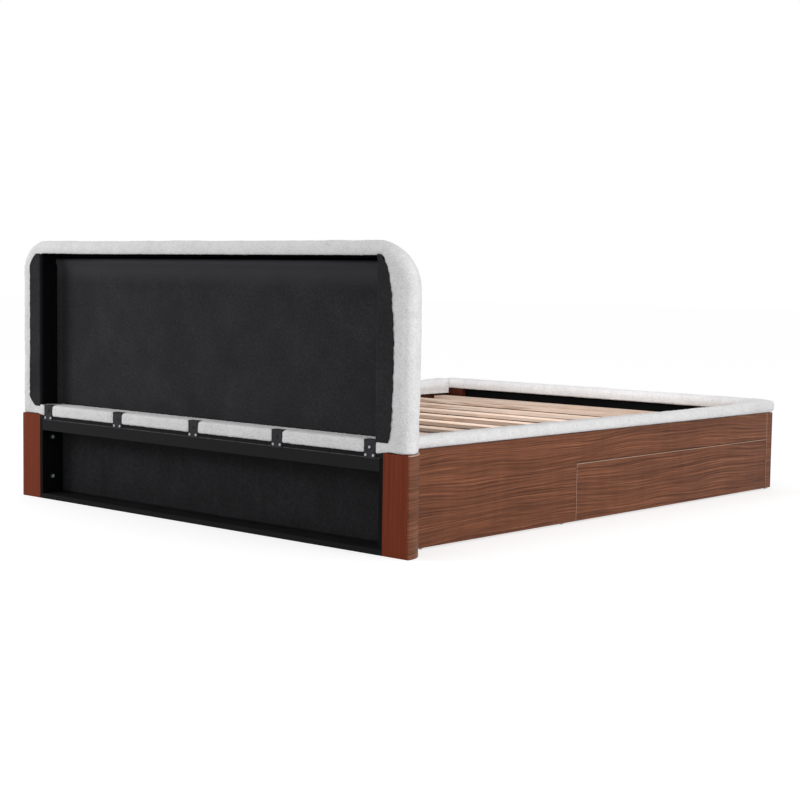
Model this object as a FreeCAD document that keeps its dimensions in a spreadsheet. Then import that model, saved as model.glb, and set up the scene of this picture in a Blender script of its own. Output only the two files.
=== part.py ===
"""Upholstered platform bed with two side drawers, as an assembly of its real pieces.

Frame: X across the bed, +Y towards the headboard, +Z up, floor at Z = 0. The origin lies on the
floor under the middle of the bed. Depths named d are measured from the headboard's back plane
towards the foot. Left is -X, right is +X. All lengths are millimetres.
"""
import FreeCAD, Part
import os
import re
import Sketcher
from FreeCAD import Placement, Rotation, Vector

# Driving sizes, one cell each
SIZES = {
    # Whole bed
    "headboard_width": 1840,
    "headboard_height": 900,
    "bed_length": 2216,
    "frame_set_in": 93,
    "floor_gap": 5,
    "panel_thick": 16,
    "seat_gap": 0.3,
    # Headboard base, a box open to the back between two curved posts
    "base_height": 296,
    "base_depth": 112,
    "post_width": 101,
    "post_board_thick": 15,
    "shell_thick": 6,
    "front_board_thick": 15,
    "end_board_thick": 15,
    "base_top_thick": 16,
    "base_bottom_thick": 17,
    "base_rail_height": 39,
    "base_rail_thick": 16,
    "base_liner_depth": 84,
    "liner_thick": 1,
    "post_plate_thick": 15,
    "cleat_width": 30,
    # Upper headboard, an upholstered shell round a frame and a back recess
    "cover_inset": 4,
    "cover_depth": 118,
    "cover_corner_radius": 132,
    "cover_front_radius": 102,
    "cover_back_radius": 13,
    "cover_side_thick": 50,
    "cover_top_thick": 30,
    "cover_skin": 2,
    "recess_side_rim": 118,
    "recess_top_rim": 43,
    "ledge_rise": 33,
    "recess_depth": 75,
    "head_panel_thick": 9,
    "head_panel_drop": 8,
    "head_panel_radius": 95,
    "head_rail_seat": 6,
    "strip_thick": 1.5,
    "strip_corner_radius": 60,
    # Brackets that join the two stages, and their screws
    "bracket_end_inset": 34,
    "bracket_width": 45,
    "bracket_thick": 2,
    "bracket_drop": 20,
    "bracket_flange": 18,
    "bracket_screw_spacing": 30,
    "bracket_screw_drop": 10,
    "bracket_screw_rise": 13,
    "screw_diameter": 3.5,
    "screw_head_diameter": 8,
    "screw_head_rise": 2.2,
    "screw_length": 14,
    # Bolts
    "bolt_diameter": 8,
    "bolt_hole_play": 0.5,
    "bolt_head_width": 13,
    "bolt_head_thick": 5.3,
    "washer_diameter": 20,
    "washer_thick": 1.6,
    "post_bolt_depth": 39,
    "post_bolt_low": 76,
    "post_bolt_drop": 81,
    "post_bolt_reach": 20,
    # Corner brackets between the headboard base and the side panels
    "rail_bracket_thick": 3,
    "rail_bracket_leg": 50,
    "rail_bracket_bottom": 70,
    "rail_bracket_clear": 17,
    "rail_bolt_inset": 25,
    "rail_bolt_margin": 30,
    "rail_bolt_bite": 10,
    # Upholstered rim
    "pad_proud": 9,
    "pad_skirt": 3,
    "batten_width": 41,
    "batten_height": 17,
    "side_pad_height": 36,
    "side_pad_radius": 16,
    "foot_pad_height": 48,
    "foot_pad_width": 67,
    "foot_pad_radius": 20,
    "pad_ramp_length": 230,
    "pad_corner_radius": 38,
    # Foot end
    "foot_board_thick": 15,
    "foot_board_rise": 7,
    "foot_board_lift": 15,
    "corner_block_width": 120,
    "corner_block_thick": 24,
    # Slats and what carries them
    "slat_drop": 24,
    "slat_width": 68,
    "slat_thick": 15,
    "slat_side_gap": 1,
    "slat_head_gap": 180,
    "slat_foot_gap": 93,
    "slat_screw_inset": 10,
    "slat_screw_head": 7,
    "slat_screw_head_depth": 3,
    "slat_screw_sink": 0.5,
    "slat_screw_length": 35,
    "ledge_width": 70,
    "ledge_height": 30,
    "beam_width": 50,
    "beam_height": 70,
    "leg_width": 40,
    "leg_glide_diameter": 36,
    "leg_glide_height": 8,
    "leg_end_distance": 420,
    "rail_glide_diameter": 14,
    "rail_glide_inset": 60,
    # Drawers and their bays
    "bay_start": 928,
    "foot_stile": 43,
    "stile_joint": 0.6,
    "bay_head_rail": 99,
    "drawer_gap": 2.5,
    "drawer_front_thick": 16,
    "drawer_board_thick": 12,
    "drawer_box_bottom": 30,
    "drawer_box_headroom": 17,
    "drawer_box_reach": 545,
    "drawer_floor_lift": 6,
    "drawer_floor_thick": 6,
    "divider_thick": 16,
    "packer_height": 60,
    # Telescopic slides
    "slide_length": 500,
    "slide_setback": 2,
    "slide_height": 45,
    "slide_width": 12.7,
    "slide_lip": 9,
    "slide_metal": 1.2,
    "slide_play": 0.4,
    "slide_axis_height": 100,
    # Cutting tools run past the faces they leave by this much
    "overrun": 2,
}

# Counts
SLAT_COUNT = 10
BRACKET_COUNT = 5
LEG_COUNT = 3

# Sizes and places worked out from the driving sizes
PLACES = {
    "overall_length": "bed_length + pad_proud + bracket_thick + screw_head_rise",
    "back_y": "overall_length / 2 - bracket_thick - screw_head_rise",
    "head_half": "headboard_width / 2",
    "frame_half": "head_half - frame_set_in",
    "panel_inner": "frame_half - panel_thick",
    "wood_top": "base_height",
    "post_inner": "head_half - post_width",
    "end_inner": "post_inner - end_board_thick",
    "post_axis": "head_half - base_depth",
    "base_cavity": "base_depth - front_board_thick",
    "cover_half": "head_half - cover_inset",
    "cover_bottom": "base_height + seat_gap",
    "frame_outer": "cover_half - cover_side_thick",
    "frame_top": "headboard_height - cover_top_thick",
    "head_panel_top": "frame_top - head_panel_drop",
    "recess_half": "head_half - recess_side_rim",
    "recess_bottom": "base_height + ledge_rise",
    "recess_top": "headboard_height - recess_top_rim",
    "head_rail_half": "recess_half + head_rail_seat",
    "ledge_skin_bottom": "recess_bottom - cover_skin",
    "foot_inside": "bed_length - panel_thick - foot_board_thick",
    "slat_top": "wood_top - slat_drop",
    "slat_bottom": "slat_top - slat_thick",
    "screw_seat": "slat_top - slat_screw_sink",
    "ledge_bottom": "slat_bottom - ledge_height",
    "ledge_inner": "panel_inner - ledge_width",
    "beam_bottom": "slat_bottom - beam_height",
    "rail_bracket_top": "ledge_bottom - rail_bracket_clear",
    "rail_bracket_height": "rail_bracket_top - rail_bracket_bottom",
    "post_bolt_high": "base_height - post_bolt_drop",
    "bay_end": "bed_length - foot_stile",
    "bay_height": "wood_top - bay_head_rail",
    "drawer_box_height": "bay_height - drawer_box_headroom - drawer_box_bottom",
    "board_lift": "floor_gap + foot_board_lift",
    "slide_back": "panel_inner - slide_setback - slide_length",
    "box_inner": "panel_inner - drawer_box_reach",
    "box_head": "bay_start + slide_width",
    "box_foot": "bay_end - slide_width",
    "pad_outer": "frame_half + pad_proud",
    "pad_inner": "panel_inner - batten_width - pad_skirt",
    "slat_half": "pad_inner - slat_side_gap",
    "foot_pad_back": "bed_length + pad_proud - foot_pad_width",
    "foot_block_back": "foot_inside - corner_block_thick",
    "batten_bottom": "wood_top - batten_height",
    "pad_bottom": "wood_top + seat_gap",
    "foot_pad_bottom": "wood_top + foot_board_rise + seat_gap",
}

doc = FreeCAD.newDocument("PlatformBed")
sheet = doc.addObject("Spreadsheet::Sheet", "Sizes")
nodes = []


# Sheet and bindings

def fill_sheet():
    """Write every driving size as a plain number and every derived one as a formula."""
    for row, (name, number) in enumerate(SIZES.items(), start=1):
        sheet.set(f"A{row}", name)
        sheet.set(f"B{row}", str(number))
        sheet.setAlias(f"B{row}", name)
    for row, (name, formula) in enumerate(PLACES.items(), start=1):
        sheet.set(f"C{row}", name)
        sheet.set(f"D{row}", "=" + formula)
        sheet.setAlias(f"D{row}", name)
    doc.recompute()


def bound(formula):
    """Return a formula with each name pointed at its cell."""
    def to_cell(match):
        word = match.group()
        return "Sizes." + word if word in SIZES or word in PLACES else word
    return re.sub(r"[a-z][a-z_]*", to_cell, formula)


def bind(item, **formulas):
    """Bind properties of an item to formulas of the sheet."""
    for name, formula in formulas.items():
        item.setExpression(name, bound(formula))
    return item


def size(formula):
    """Return the number that a formula of sheet names gives now."""
    names = {name: float(getattr(sheet, name)) for name in re.findall(r"[a-z][a-z_]*", formula)}
    for name in sorted(names, key=len, reverse=True):
        formula = re.sub(rf"\b{name}\b", repr(names[name]), formula)
    return FreeCAD.Units.Quantity(formula.replace("--", "+")).Value


def place(item, x, d, z, turn=None):
    """Place an item by X, by depth d from the back plane and by height."""
    if turn is not None:
        item.Placement = Placement(Vector(), turn)
    item.setExpression("Placement.Base.x", bound(x))
    item.setExpression("Placement.Base.y", bound(f"back_y - ({d})"))
    item.setExpression("Placement.Base.z", bound(z))
    return item


# Plain solids

def board(name, x, d, z, width, depth, height):
    """A board from X = x to x + width, from depth d to d + depth and up from height z."""
    item = doc.addObject("Part::Box", name)
    bind(item, Length=width, Width=depth, Height=height)
    return place(item, x, f"({d}) + ({depth})", z)


def side_board(name, side, x, d, z, width, depth, height):
    """A board given for the right side of the bed, or its mirror image on the left."""
    start = x if side == "right" else f"-({x}) - ({width})"
    return board(name, start, d, z, width, depth, height)


def rod(name, x, d, z, diameter, length, turn=None):
    """A round bar that starts at the given place and runs along +Z before it is turned."""
    item = doc.addObject("Part::Cylinder", name)
    bind(item, Radius=f"({diameter}) / 2", Height=length)
    return place(item, x, d, z, turn)


def quarter(name, side, radius, z, height):
    """A quarter disc round the axis of a post, on the side away from the mattress's middle."""
    item = doc.addObject("Part::Cylinder", name)
    item.Angle = 90
    bind(item, Radius=radius, Height=height)
    if side == "right":
        return place(item, "post_axis", "0", z, Rotation(Vector(0, 0, 1), -90))
    return place(item, "-post_axis", "0", z, Rotation(Vector(0, 0, 1), 180))


def cut(name, base, tools):
    """The base with one or more tools taken away."""
    item = doc.addObject("Part::Cut", name)
    item.Base = base
    item.Tool = tools[0] if len(tools) == 1 else group(name + "_tools", tools)
    return item


def common(name, first, second):
    """What two solids share."""
    item = doc.addObject("Part::Common", name)
    item.Base = first
    item.Tool = second
    return item


def fuse(name, pieces):
    """One solid of several that touch."""
    item = doc.addObject("Part::MultiFuse", name)
    item.Shapes = pieces
    return item


def group(name, pieces):
    """Separate solids kept as one item."""
    item = doc.addObject("Part::Compound", name)
    item.Links = pieces
    return item


def mirrored(name, source):
    """The mirror image of an item across the bed's middle plane."""
    item = doc.addObject("Part::Mirroring", name)
    item.Source = source
    item.Normal = Vector(1, 0, 0)
    return item


def node(item):
    """Hand an item over as a sub-part, under its own name."""
    item.Label = item.Name
    nodes.append(item)
    return item


# Sketched solids

def origin_plane(body, role):
    """Find one of a body's own origin planes."""
    return next(plane for plane in body.Origin.OriginFeatures if plane.Role == role)


def outline(body, role, corners, offset):
    """A closed sketch of straight edges, each corner held by two bound distances."""
    sketch = body.newObject("Sketcher::SketchObject", body.Name + "_outline")
    sketch.AttachmentSupport = [(origin_plane(body, role), "")]
    sketch.MapMode = "FlatFace"
    sketch.setExpression("AttachmentOffset.Base.z", bound(offset))
    points = [Vector(size(x), size(y), 0) for x, y in corners]
    count = len(points)
    for index in range(count):
        sketch.addGeometry(Part.LineSegment(points[index], points[(index + 1) % count]), False)
    for index in range(count):
        joint = Sketcher.Constraint("Coincident", index, 2, (index + 1) % count, 1)
        sketch.addConstraint(joint)
    for index, (x, y) in enumerate(corners):
        for kind, formula, number in (("DistanceX", x, points[index].x), ("DistanceY", y, points[index].y)):
            mark = sketch.addConstraint(Sketcher.Constraint(kind, index, 1, number))
            sketch.setExpression(f"Constraints[{mark}]", bound(formula))
    return sketch


def padded(name, role, corners, offset, length):
    """A body made by one pad of a straight-edged outline, from the offset along the plane's normal."""
    body = doc.addObject("PartDesign::Body", name)
    sketch = outline(body, role, corners, offset)
    pad = body.newObject("PartDesign::Pad", name + "_pad")
    pad.Profile = sketch
    bind(pad, Length=length)
    doc.recompute()
    return body, pad


def edges_where(shape, test):
    """Names of the edges whose middle passes a test."""
    names = []
    for index, edge in enumerate(shape.Edges, start=1):
        middle = edge.valueAt((edge.FirstParameter + edge.LastParameter) / 2)
        if test(edge, middle):
            names.append(f"Edge{index}")
    return names


def round_edges(body, base, name, names, radius):
    """Round some edges of a body's last feature."""
    fillet = body.newObject("PartDesign::Fillet", name)
    fillet.Base = (base, names)
    bind(fillet, Radius=radius)
    doc.recompute()
    return fillet


def arch(name, half, bottom, top, radius, depth, thick):
    """A plate in the headboard's plane with its two top corners rounded."""
    corners = [("-" + half, bottom), (half, bottom), (half, top), ("-" + half, top)]
    body, pad = padded(name, "XZ_Plane", corners, f"{depth} - back_y", thick)
    height = size(top)
    near = size("cover_skin")

    def is_corner(edge, middle):
        return abs(edge.tangentAt(edge.FirstParameter).y) > 0.9 and abs(middle.z - height) < near

    round_edges(body, pad, name + "_corners", edges_where(pad.Shape, is_corner), radius)
    return body


def window(name, depth, thick):
    """The opening of the back recess as a tool, between the stiles."""
    return board(name, "-recess_half", f"{depth} - overrun", "recess_bottom - overrun",
                 "2 * recess_half", f"{thick} + 2 * overrun", "recess_top - recess_bottom + 2 * overrun")


# Fasteners

def bolt(name, x, d, z, length, turn):
    """A hexagon bolt with its washer. Its shank starts at the given place and runs along +Z."""
    shank = rod(name + "_shank", "0", "back_y", "0", "bolt_diameter", length)
    washer = rod(name + "_washer", "0", "back_y", "-washer_thick", "washer_diameter", "washer_thick")
    head = doc.addObject("Part::Prism", name + "_head")
    head.Polygon = 6
    bind(head, Circumradius="bolt_head_width / sqrt(3)", Height="bolt_head_thick")
    place(head, "0", "back_y", "-washer_thick - bolt_head_thick")
    return place(fuse(name, [shank, washer, head]), x, d, z, turn)


def pan_screw(name, x, d, z, length, turn):
    """A pan-head wood screw. The seat under its head is at the given place."""
    shank = rod(name + "_shank", "0", "back_y", "0", "screw_diameter", length)
    head = rod(name + "_cap", "0", "back_y", "-screw_head_rise", "screw_head_diameter", "screw_head_rise")
    return place(fuse(name, [shank, head]), x, d, z, turn)


def sunk_screw(name, x, d, z):
    """A countersunk wood screw that stands upright with its head flush at height z."""
    head = doc.addObject("Part::Cone", name + "_cap")
    bind(head, Radius1="screw_diameter / 2", Radius2="slat_screw_head / 2", Height="slat_screw_head_depth")
    place(head, "0", "back_y", "-slat_screw_head_depth")
    shank = rod(name + "_shank", "0", "back_y", "-slat_screw_length", "screw_diameter", "slat_screw_length")
    return place(fuse(name, [head, shank]), x, d, z)


TO_FOOT = Rotation(Vector(1, 0, 0), 90)
TO_RIGHT = Rotation(Vector(0, 1, 0), 90)
TO_LEFT = Rotation(Vector(0, 1, 0), -90)


# Upper headboard

def make_cover():
    """The padded shell: corners rounded in front view, a wide roll along the front edges."""
    corners = [("-cover_half", "cover_bottom"), ("cover_half", "cover_bottom"),
               ("cover_half", "headboard_height"), ("-cover_half", "headboard_height")]
    body, pad = padded("cover_block", "XZ_Plane", corners, "-back_y", "cover_depth")
    top = size("headboard_height")
    front = size("back_y - cover_depth")
    back = size("back_y")
    near = size("cover_skin")

    def is_corner(edge, middle):
        return abs(edge.tangentAt(edge.FirstParameter).y) > 0.9 and abs(middle.z - top) < near

    def on_outline(plane):
        floor = size("cover_bottom") + near
        return lambda edge, middle: abs(middle.y - plane) < near / 2 and middle.z > floor

    corner_edges = edges_where(pad.Shape, is_corner)
    rounded = round_edges(body, pad, "cover_corners", corner_edges, "cover_corner_radius")
    front_edges = edges_where(rounded.Shape, on_outline(front))
    rolled = round_edges(body, rounded, "cover_front", front_edges, "cover_front_radius")
    back_edges = edges_where(rolled.Shape, on_outline(back))
    round_edges(body, rolled, "cover_back", back_edges, "cover_back_radius")
    tools = [
        arch("cover_panel_slot", "frame_outer", "cover_bottom - overrun", "head_panel_top",
             "head_panel_radius", "recess_depth", "head_panel_thick"),
        board("cover_lower_slot", "-frame_outer", "cover_skin", "cover_bottom - overrun",
              "2 * frame_outer", "recess_depth - cover_skin", "ledge_skin_bottom - cover_bottom + overrun"),
        board("cover_upper_slot", "-head_rail_half", "cover_skin", "recess_top",
              "2 * head_rail_half", "recess_depth - cover_skin", "frame_top - recess_top"),
        arch("cover_window", "frame_outer", "recess_bottom", "recess_top",
             "strip_corner_radius", "-overrun", "recess_depth + overrun"),
    ]
    tools += screw_pilots("cover_pilot", [high_screw(middle) for middle in bracket_places()])
    node(cut("headboard_cover", body, tools))


def make_head_frame():
    """The frame inside the cover, its front panel and the black linings of the back."""
    node(arch("headboard_front_panel", "frame_outer", "cover_bottom", "head_panel_top",
              "head_panel_radius", "recess_depth", "head_panel_thick"))
    stiles = arch("headboard_stiles_blank", "frame_outer", "recess_bottom", "recess_top",
                  "strip_corner_radius", "strip_thick", "recess_depth - strip_thick")
    node(cut("headboard_stiles", stiles, [window("headboard_stiles_window", "strip_thick",
                                                 "recess_depth - strip_thick")]))
    rail_depth = "recess_depth - cover_skin"
    top = board("headboard_rail_top", "-head_rail_half", "cover_skin", "recess_top",
                "2 * head_rail_half", rail_depth, "frame_top - recess_top")
    bottom = board("headboard_rail_bottom", "-frame_outer", "cover_skin", "cover_bottom",
                   "2 * frame_outer", rail_depth, "ledge_skin_bottom - cover_bottom")
    drilled = cut("headboard_rail_drilled", bottom,
                  screw_pilots("rail_pilot", [high_screw(middle) for middle in bracket_places()]))
    node(group("headboard_cross_rails", [top, drilled]))
    node(board("headboard_back_liner", "-recess_half", "recess_depth - liner_thick", "recess_bottom",
               "2 * recess_half", "liner_thick", "recess_top - recess_bottom"))
    strips = arch("headboard_strips_blank", "frame_outer", "recess_bottom", "recess_top",
                  "strip_corner_radius", "0", "strip_thick")
    node(cut("headboard_side_strips", strips, [window("headboard_strips_window", "0", "strip_thick")]))


def bracket_places():
    """X of each joining bracket, evenly spaced between the stiles."""
    reach = "(recess_half - bracket_end_inset)"
    return [f"{2 * index / (BRACKET_COUNT - 1) - 1} * {reach}" for index in range(BRACKET_COUNT)]


def low_screws(middle):
    """X and Z of a bracket's two screws in the base's top board."""
    z = "base_height - bracket_screw_drop"
    return [(f"{middle} {sign} bracket_screw_spacing / 2", z) for sign in "-+"]


def high_screw(middle):
    """X and Z of a bracket's screw in the headboard's lower rail."""
    return middle, "base_height + bracket_screw_rise"


def make_joining_brackets():
    """Angle brackets on the back face: screwed to the base, folded over the headboard's lower ledge."""
    brackets = []
    for number, middle in enumerate(bracket_places(), start=1):
        start = f"{middle} - bracket_width / 2"
        bottom = "base_height - bracket_drop"
        plate = board(f"bracket_plate_{number}", start, "-bracket_thick", bottom,
                      "bracket_width", "bracket_thick", f"recess_bottom + bracket_thick - ({bottom})")
        flange = board(f"bracket_flange_{number}", start, "0", "recess_bottom",
                       "bracket_width", "bracket_flange", "bracket_thick")
        angle = fuse(f"bracket_angle_{number}", [plate, flange])
        holes = [rod(f"bracket_hole_{number}{mark}", x, "-bracket_thick - overrun", z, "screw_diameter",
                     "bracket_thick + 2 * overrun", TO_FOOT)
                 for mark, (x, z) in zip("abc", low_screws(middle) + [high_screw(middle)])]
        brackets.append(cut(f"joining_bracket_{number}", angle, holes))
    node(group("joining_brackets", brackets))


def make_bracket_screws():
    """Two white screws low in each bracket into the base, and one above them into the headboard."""
    places = [spot for middle in bracket_places() for spot in low_screws(middle) + [high_screw(middle)]]
    screws = [pan_screw(f"bracket_screw_{number}", x, "-bracket_thick", z, "screw_length", TO_FOOT)
              for number, (x, z) in enumerate(places, start=1)]
    node(group("bracket_screws", screws))


def screw_pilots(name, places):
    """The holes that bracket screws make in the wood behind the brackets."""
    return [rod(f"{name}_{number}", x, "-overrun", z, "screw_diameter",
                "screw_length - bracket_thick + overrun", TO_FOOT)
            for number, (x, z) in enumerate(places, start=1)]


# Headboard base

def make_base_box():
    """The black box between the posts, open to the back."""
    top = board("base_top_blank", "-post_inner", "0", "base_height - base_top_thick",
                "2 * post_inner", "base_cavity", "base_top_thick")
    lows = [spot for middle in bracket_places() for spot in low_screws(middle)]
    pilots = screw_pilots("base_top_pilot", lows)
    node(cut("base_top_board", top, pilots))
    node(board("base_top_rail", "-end_inner", "0", "base_height - base_top_thick - base_rail_height",
               "2 * end_inner", "base_rail_thick", "base_rail_height"))
    node(board("base_bottom_board", "-post_inner", "0", "0", "2 * post_inner", "base_cavity",
               "base_bottom_thick"))
    front = board("base_front_blank", "-post_axis", "base_cavity", "0", "2 * post_axis",
                  "front_board_thick", "base_height")
    holes = [rod(f"base_front_hole_{number}", x, "base_cavity - overrun", z, "bolt_diameter + bolt_hole_play",
                 "front_board_thick + 2 * overrun", TO_FOOT)
             for number, (x, z) in enumerate(rail_bolt_places(), start=1)]
    node(cut("base_front_board", front, holes))
    ends = []
    for side in ("left", "right"):
        blank = side_board(f"base_end_blank_{side}", side, "end_inner", "0", "base_bottom_thick",
                           "end_board_thick", "base_cavity",
                           "base_height - base_top_thick - base_bottom_thick")
        start = "end_inner - overrun" if side == "right" else "-end_inner + overrun"
        turn = TO_RIGHT if side == "right" else TO_LEFT
        holes = [rod(f"base_end_hole_{side}_{level}", start, "post_bolt_depth", "post_bolt_" + level,
                     "bolt_diameter + bolt_hole_play", "end_board_thick + 2 * overrun", turn)
                 for level in ("low", "high")]
        ends.append(cut(f"base_end_board_{side}", blank, holes))
    node(group("base_end_boards", ends))
    node(board("base_back_liner", "-end_inner", "base_liner_depth", "base_bottom_thick", "2 * end_inner",
               "liner_thick", "base_height - base_top_thick - base_bottom_thick"))


def make_posts():
    """Each post: flat back board, quarter-round shell, two plates and a cleat inside."""
    for side in ("left", "right"):
        blank = side_board(f"post_back_blank_{side}", side, "post_inner", "0", "0",
                           "post_width", "post_board_thick", "base_height")
        room = quarter(f"post_back_room_{side}", side, "base_depth - shell_thick", "0", "base_height")
        node(common(f"post_back_board_{side}", room, blank))
    for side in ("left", "right"):
        outer = quarter(f"post_outer_{side}", side, "base_depth", "0", "base_height")
        inner = quarter(f"post_hollow_{side}", side, "base_depth - shell_thick", "-overrun",
                        "base_height + 2 * overrun")
        node(cut(f"post_shell_{side}", outer, [inner]))
    pieces = []
    for side in ("left", "right"):
        for level, z in (("bottom", "0"), ("top", "base_height - post_plate_thick")):
            disc = quarter(f"post_disc_{side}_{level}", side, "base_depth - shell_thick", z,
                           "post_plate_thick")
            room = side_board(f"post_room_{side}_{level}", side, "post_inner", "post_board_thick", z,
                              "post_width", "base_depth", "post_plate_thick")
            pieces.append(common(f"post_plate_{side}_{level}", disc, room))
        cleat = side_board(f"post_cleat_blank_{side}", side, "post_inner",
                           "post_bolt_depth - cleat_width / 2", "post_plate_thick", "cleat_width",
                           "cleat_width", "base_height - 2 * post_plate_thick")
        start = "post_inner - overrun" if side == "right" else "-post_inner + overrun"
        turn = TO_RIGHT if side == "right" else TO_LEFT
        holes = [rod(f"post_cleat_hole_{side}_{level}", start, "post_bolt_depth", "post_bolt_" + level,
                     "bolt_diameter + bolt_hole_play", "post_bolt_reach + 2 * overrun", turn)
                 for level in ("low", "high")]
        pieces.append(cut(f"post_cleat_{side}", cleat, holes))
    node(group("post_inner_frames", pieces))


def make_post_bolts():
    """Two bolts through each end board into the post's cleat."""
    bolts = []
    for side in ("left", "right"):
        start = "end_inner" if side == "right" else "-end_inner"
        turn = TO_RIGHT if side == "right" else TO_LEFT
        for level in ("low", "high"):
            bolts.append(bolt(f"post_bolt_{side}_{level}", start, "post_bolt_depth", "post_bolt_" + level,
                              "end_board_thick + post_bolt_reach", turn))
    node(group("post_bolts", bolts))


# Side panels, foot end and the joints between them

def rail_bolt_heights():
    """Heights of the lower and the upper bolt of a corner bracket."""
    return [("low", "rail_bracket_bottom + rail_bolt_margin"),
            ("high", "rail_bracket_top - rail_bolt_margin")]


def rail_bolt_places():
    """X and Z of the bolts through the base's front board."""
    x = "(panel_inner - rail_bracket_thick - rail_bolt_inset)"
    return [(sign + x, z) for sign in ("-", "") for _level, z in rail_bolt_heights()]


def make_rail_brackets():
    """Steel angles that hold the side panels to the headboard base, with their bolts."""
    brackets = []
    bolts = []
    for side in ("left", "right"):
        long_leg = side_board(f"rail_bracket_long_{side}", side, "panel_inner - rail_bracket_thick",
                              "base_depth", "rail_bracket_bottom", "rail_bracket_thick",
                              "rail_bracket_leg", "rail_bracket_height")
        short_leg = side_board(f"rail_bracket_short_{side}", side, "panel_inner - rail_bracket_leg",
                               "base_depth", "rail_bracket_bottom",
                               "rail_bracket_leg - rail_bracket_thick", "rail_bracket_thick",
                               "rail_bracket_height")
        angle = fuse(f"rail_bracket_angle_{side}", [long_leg, short_leg])
        turn = TO_RIGHT if side == "right" else TO_LEFT
        sign = "" if side == "right" else "-"
        tools = []
        for level, z in rail_bolt_heights():
            across = f"{sign}(panel_inner - rail_bracket_thick - rail_bolt_inset)"
            tools.append(rod(f"rail_bracket_hole_{side}_{level}", across, "base_depth - overrun", z,
                             "bolt_diameter + bolt_hole_play", "rail_bracket_thick + 2 * overrun", TO_FOOT))
            bolts.append(bolt(f"rail_bolt_{side}_{level}", across, "base_cavity", z,
                              "front_board_thick + rail_bracket_thick + bolt_head_thick", TO_FOOT))
            depth = "base_depth + rail_bracket_thick + rail_bolt_inset"
            tools.append(rod(f"rail_bracket_bore_{side}_{level}",
                             f"{sign}(panel_inner - rail_bracket_thick - overrun)", depth, z,
                             "bolt_diameter + bolt_hole_play", "rail_bracket_thick + 2 * overrun", turn))
            bolts.append(bolt(f"panel_bolt_{side}_{level}", f"{sign}(panel_inner - rail_bracket_thick)",
                              depth, z, "rail_bracket_thick + rail_bolt_bite", turn))
        brackets.append(cut(f"rail_bracket_{side}", angle, tools))
    node(group("rail_brackets", brackets))
    node(group("rail_bolts", bolts))


def make_side_panels():
    """Veneered side panels, cut away along the floor for the drawer fronts, and the foot stiles."""
    start = "back_y - base_depth"
    end = "back_y - bay_end"
    corners = [(start, "floor_gap"), (start, "wood_top"), (end, "wood_top"), (end, "bay_height"),
               ("back_y - bay_start", "bay_height"), ("back_y - bay_start", "floor_gap")]
    for side in ("left", "right"):
        offset = "panel_inner" if side == "right" else "-frame_half"
        body, _pad = padded(f"side_panel_blank_{side}", "YZ_Plane", corners, offset, "panel_thick")
        turn = TO_RIGHT if side == "right" else TO_LEFT
        sign = "" if side == "right" else "-"
        holes = [rod(f"side_panel_hole_{side}_{level}", f"{sign}(panel_inner - overrun)",
                     "base_depth + rail_bracket_thick + rail_bolt_inset", z,
                     "bolt_diameter + bolt_hole_play", "rail_bolt_bite + overrun", turn)
                 for level, z in rail_bolt_heights()]
        node(cut(f"side_panel_{side}", body, holes))
    stiles = [side_board(f"foot_stile_{side}", side, "panel_inner", "bay_end + stile_joint", "floor_gap",
                         "panel_thick", "bed_length - bay_end - stile_joint", "wood_top - floor_gap")
              for side in ("left", "right")]
    node(group("foot_stiles", stiles))


def make_foot_end():
    """Foot panel, the black board inside it and the two corner blocks."""
    node(board("foot_panel", "-panel_inner", "bed_length - panel_thick", "floor_gap",
               "2 * panel_inner", "panel_thick", "wood_top - floor_gap"))
    inner = board("foot_inner_blank", "-panel_inner", "foot_inside", "board_lift", "2 * panel_inner",
                  "foot_board_thick", "wood_top + foot_board_rise - board_lift")
    notch = "pad_inner - seat_gap"
    notches = [side_board(f"foot_inner_notch_{side}", side, notch, "foot_inside - overrun", "wood_top",
                          f"panel_inner - ({notch}) + overrun", "foot_board_thick + 2 * overrun",
                          "foot_board_rise + overrun") for side in ("left", "right")]
    node(cut("foot_inner_board", inner, notches))
    blocks = []
    for side in ("left", "right"):
        blank = side_board(f"corner_block_blank_{side}", side, "panel_inner - corner_block_width",
                           "foot_block_back", "slat_bottom", "corner_block_width", "corner_block_thick",
                           "wood_top + foot_board_rise - slat_bottom")
        rebate = side_board(f"corner_block_rebate_{side}", side, notch, "foot_block_back - overrun",
                            "batten_bottom", f"panel_inner - ({notch}) + overrun",
                            "corner_block_thick + 2 * overrun", "batten_height + foot_board_rise + overrun")
        blocks.append(cut(f"foot_corner_block_{side}", blank, [rebate]))
    node(group("foot_corner_blocks", blocks))


# Upholstered rim

def rim_section(y, height, radius):
    """Closed section of a side pad at one Y: skirt inside, rounded shoulders on top."""
    outer = size("pad_outer")
    inner = size("pad_inner")
    bottom = size("pad_bottom")
    skirt = size("batten_bottom")
    batten = inner + size("pad_skirt")
    top = size("wood_top") + height
    roll = radius * (1 - 0.5 ** 0.5)
    points = [Vector(outer, y, bottom + radius), Vector(outer - roll, y, top - roll),
              Vector(outer - radius, y, top), Vector(inner + radius, y, top),
              Vector(inner + roll, y, top - roll), Vector(inner, y, top - radius),
              Vector(inner, y, skirt), Vector(batten, y, skirt), Vector(batten, y, bottom),
              Vector(outer - radius, y, bottom), Vector(outer - roll, y, bottom + roll)]
    shoulder = Vector(outer, y, top - radius)
    edges = [Part.Arc(points[9], points[10], points[0]).toShape(),
             Part.makeLine(points[0], shoulder),
             Part.Arc(shoulder, points[1], points[2]).toShape(),
             Part.makeLine(points[2], points[3]),
             Part.Arc(points[3], points[4], points[5]).toShape(),
             Part.makeLine(points[5], points[6]),
             Part.makeLine(points[6], points[7]),
             Part.makeLine(points[7], points[8]),
             Part.makeLine(points[8], points[9])]
    return Part.Wire(edges)


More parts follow.
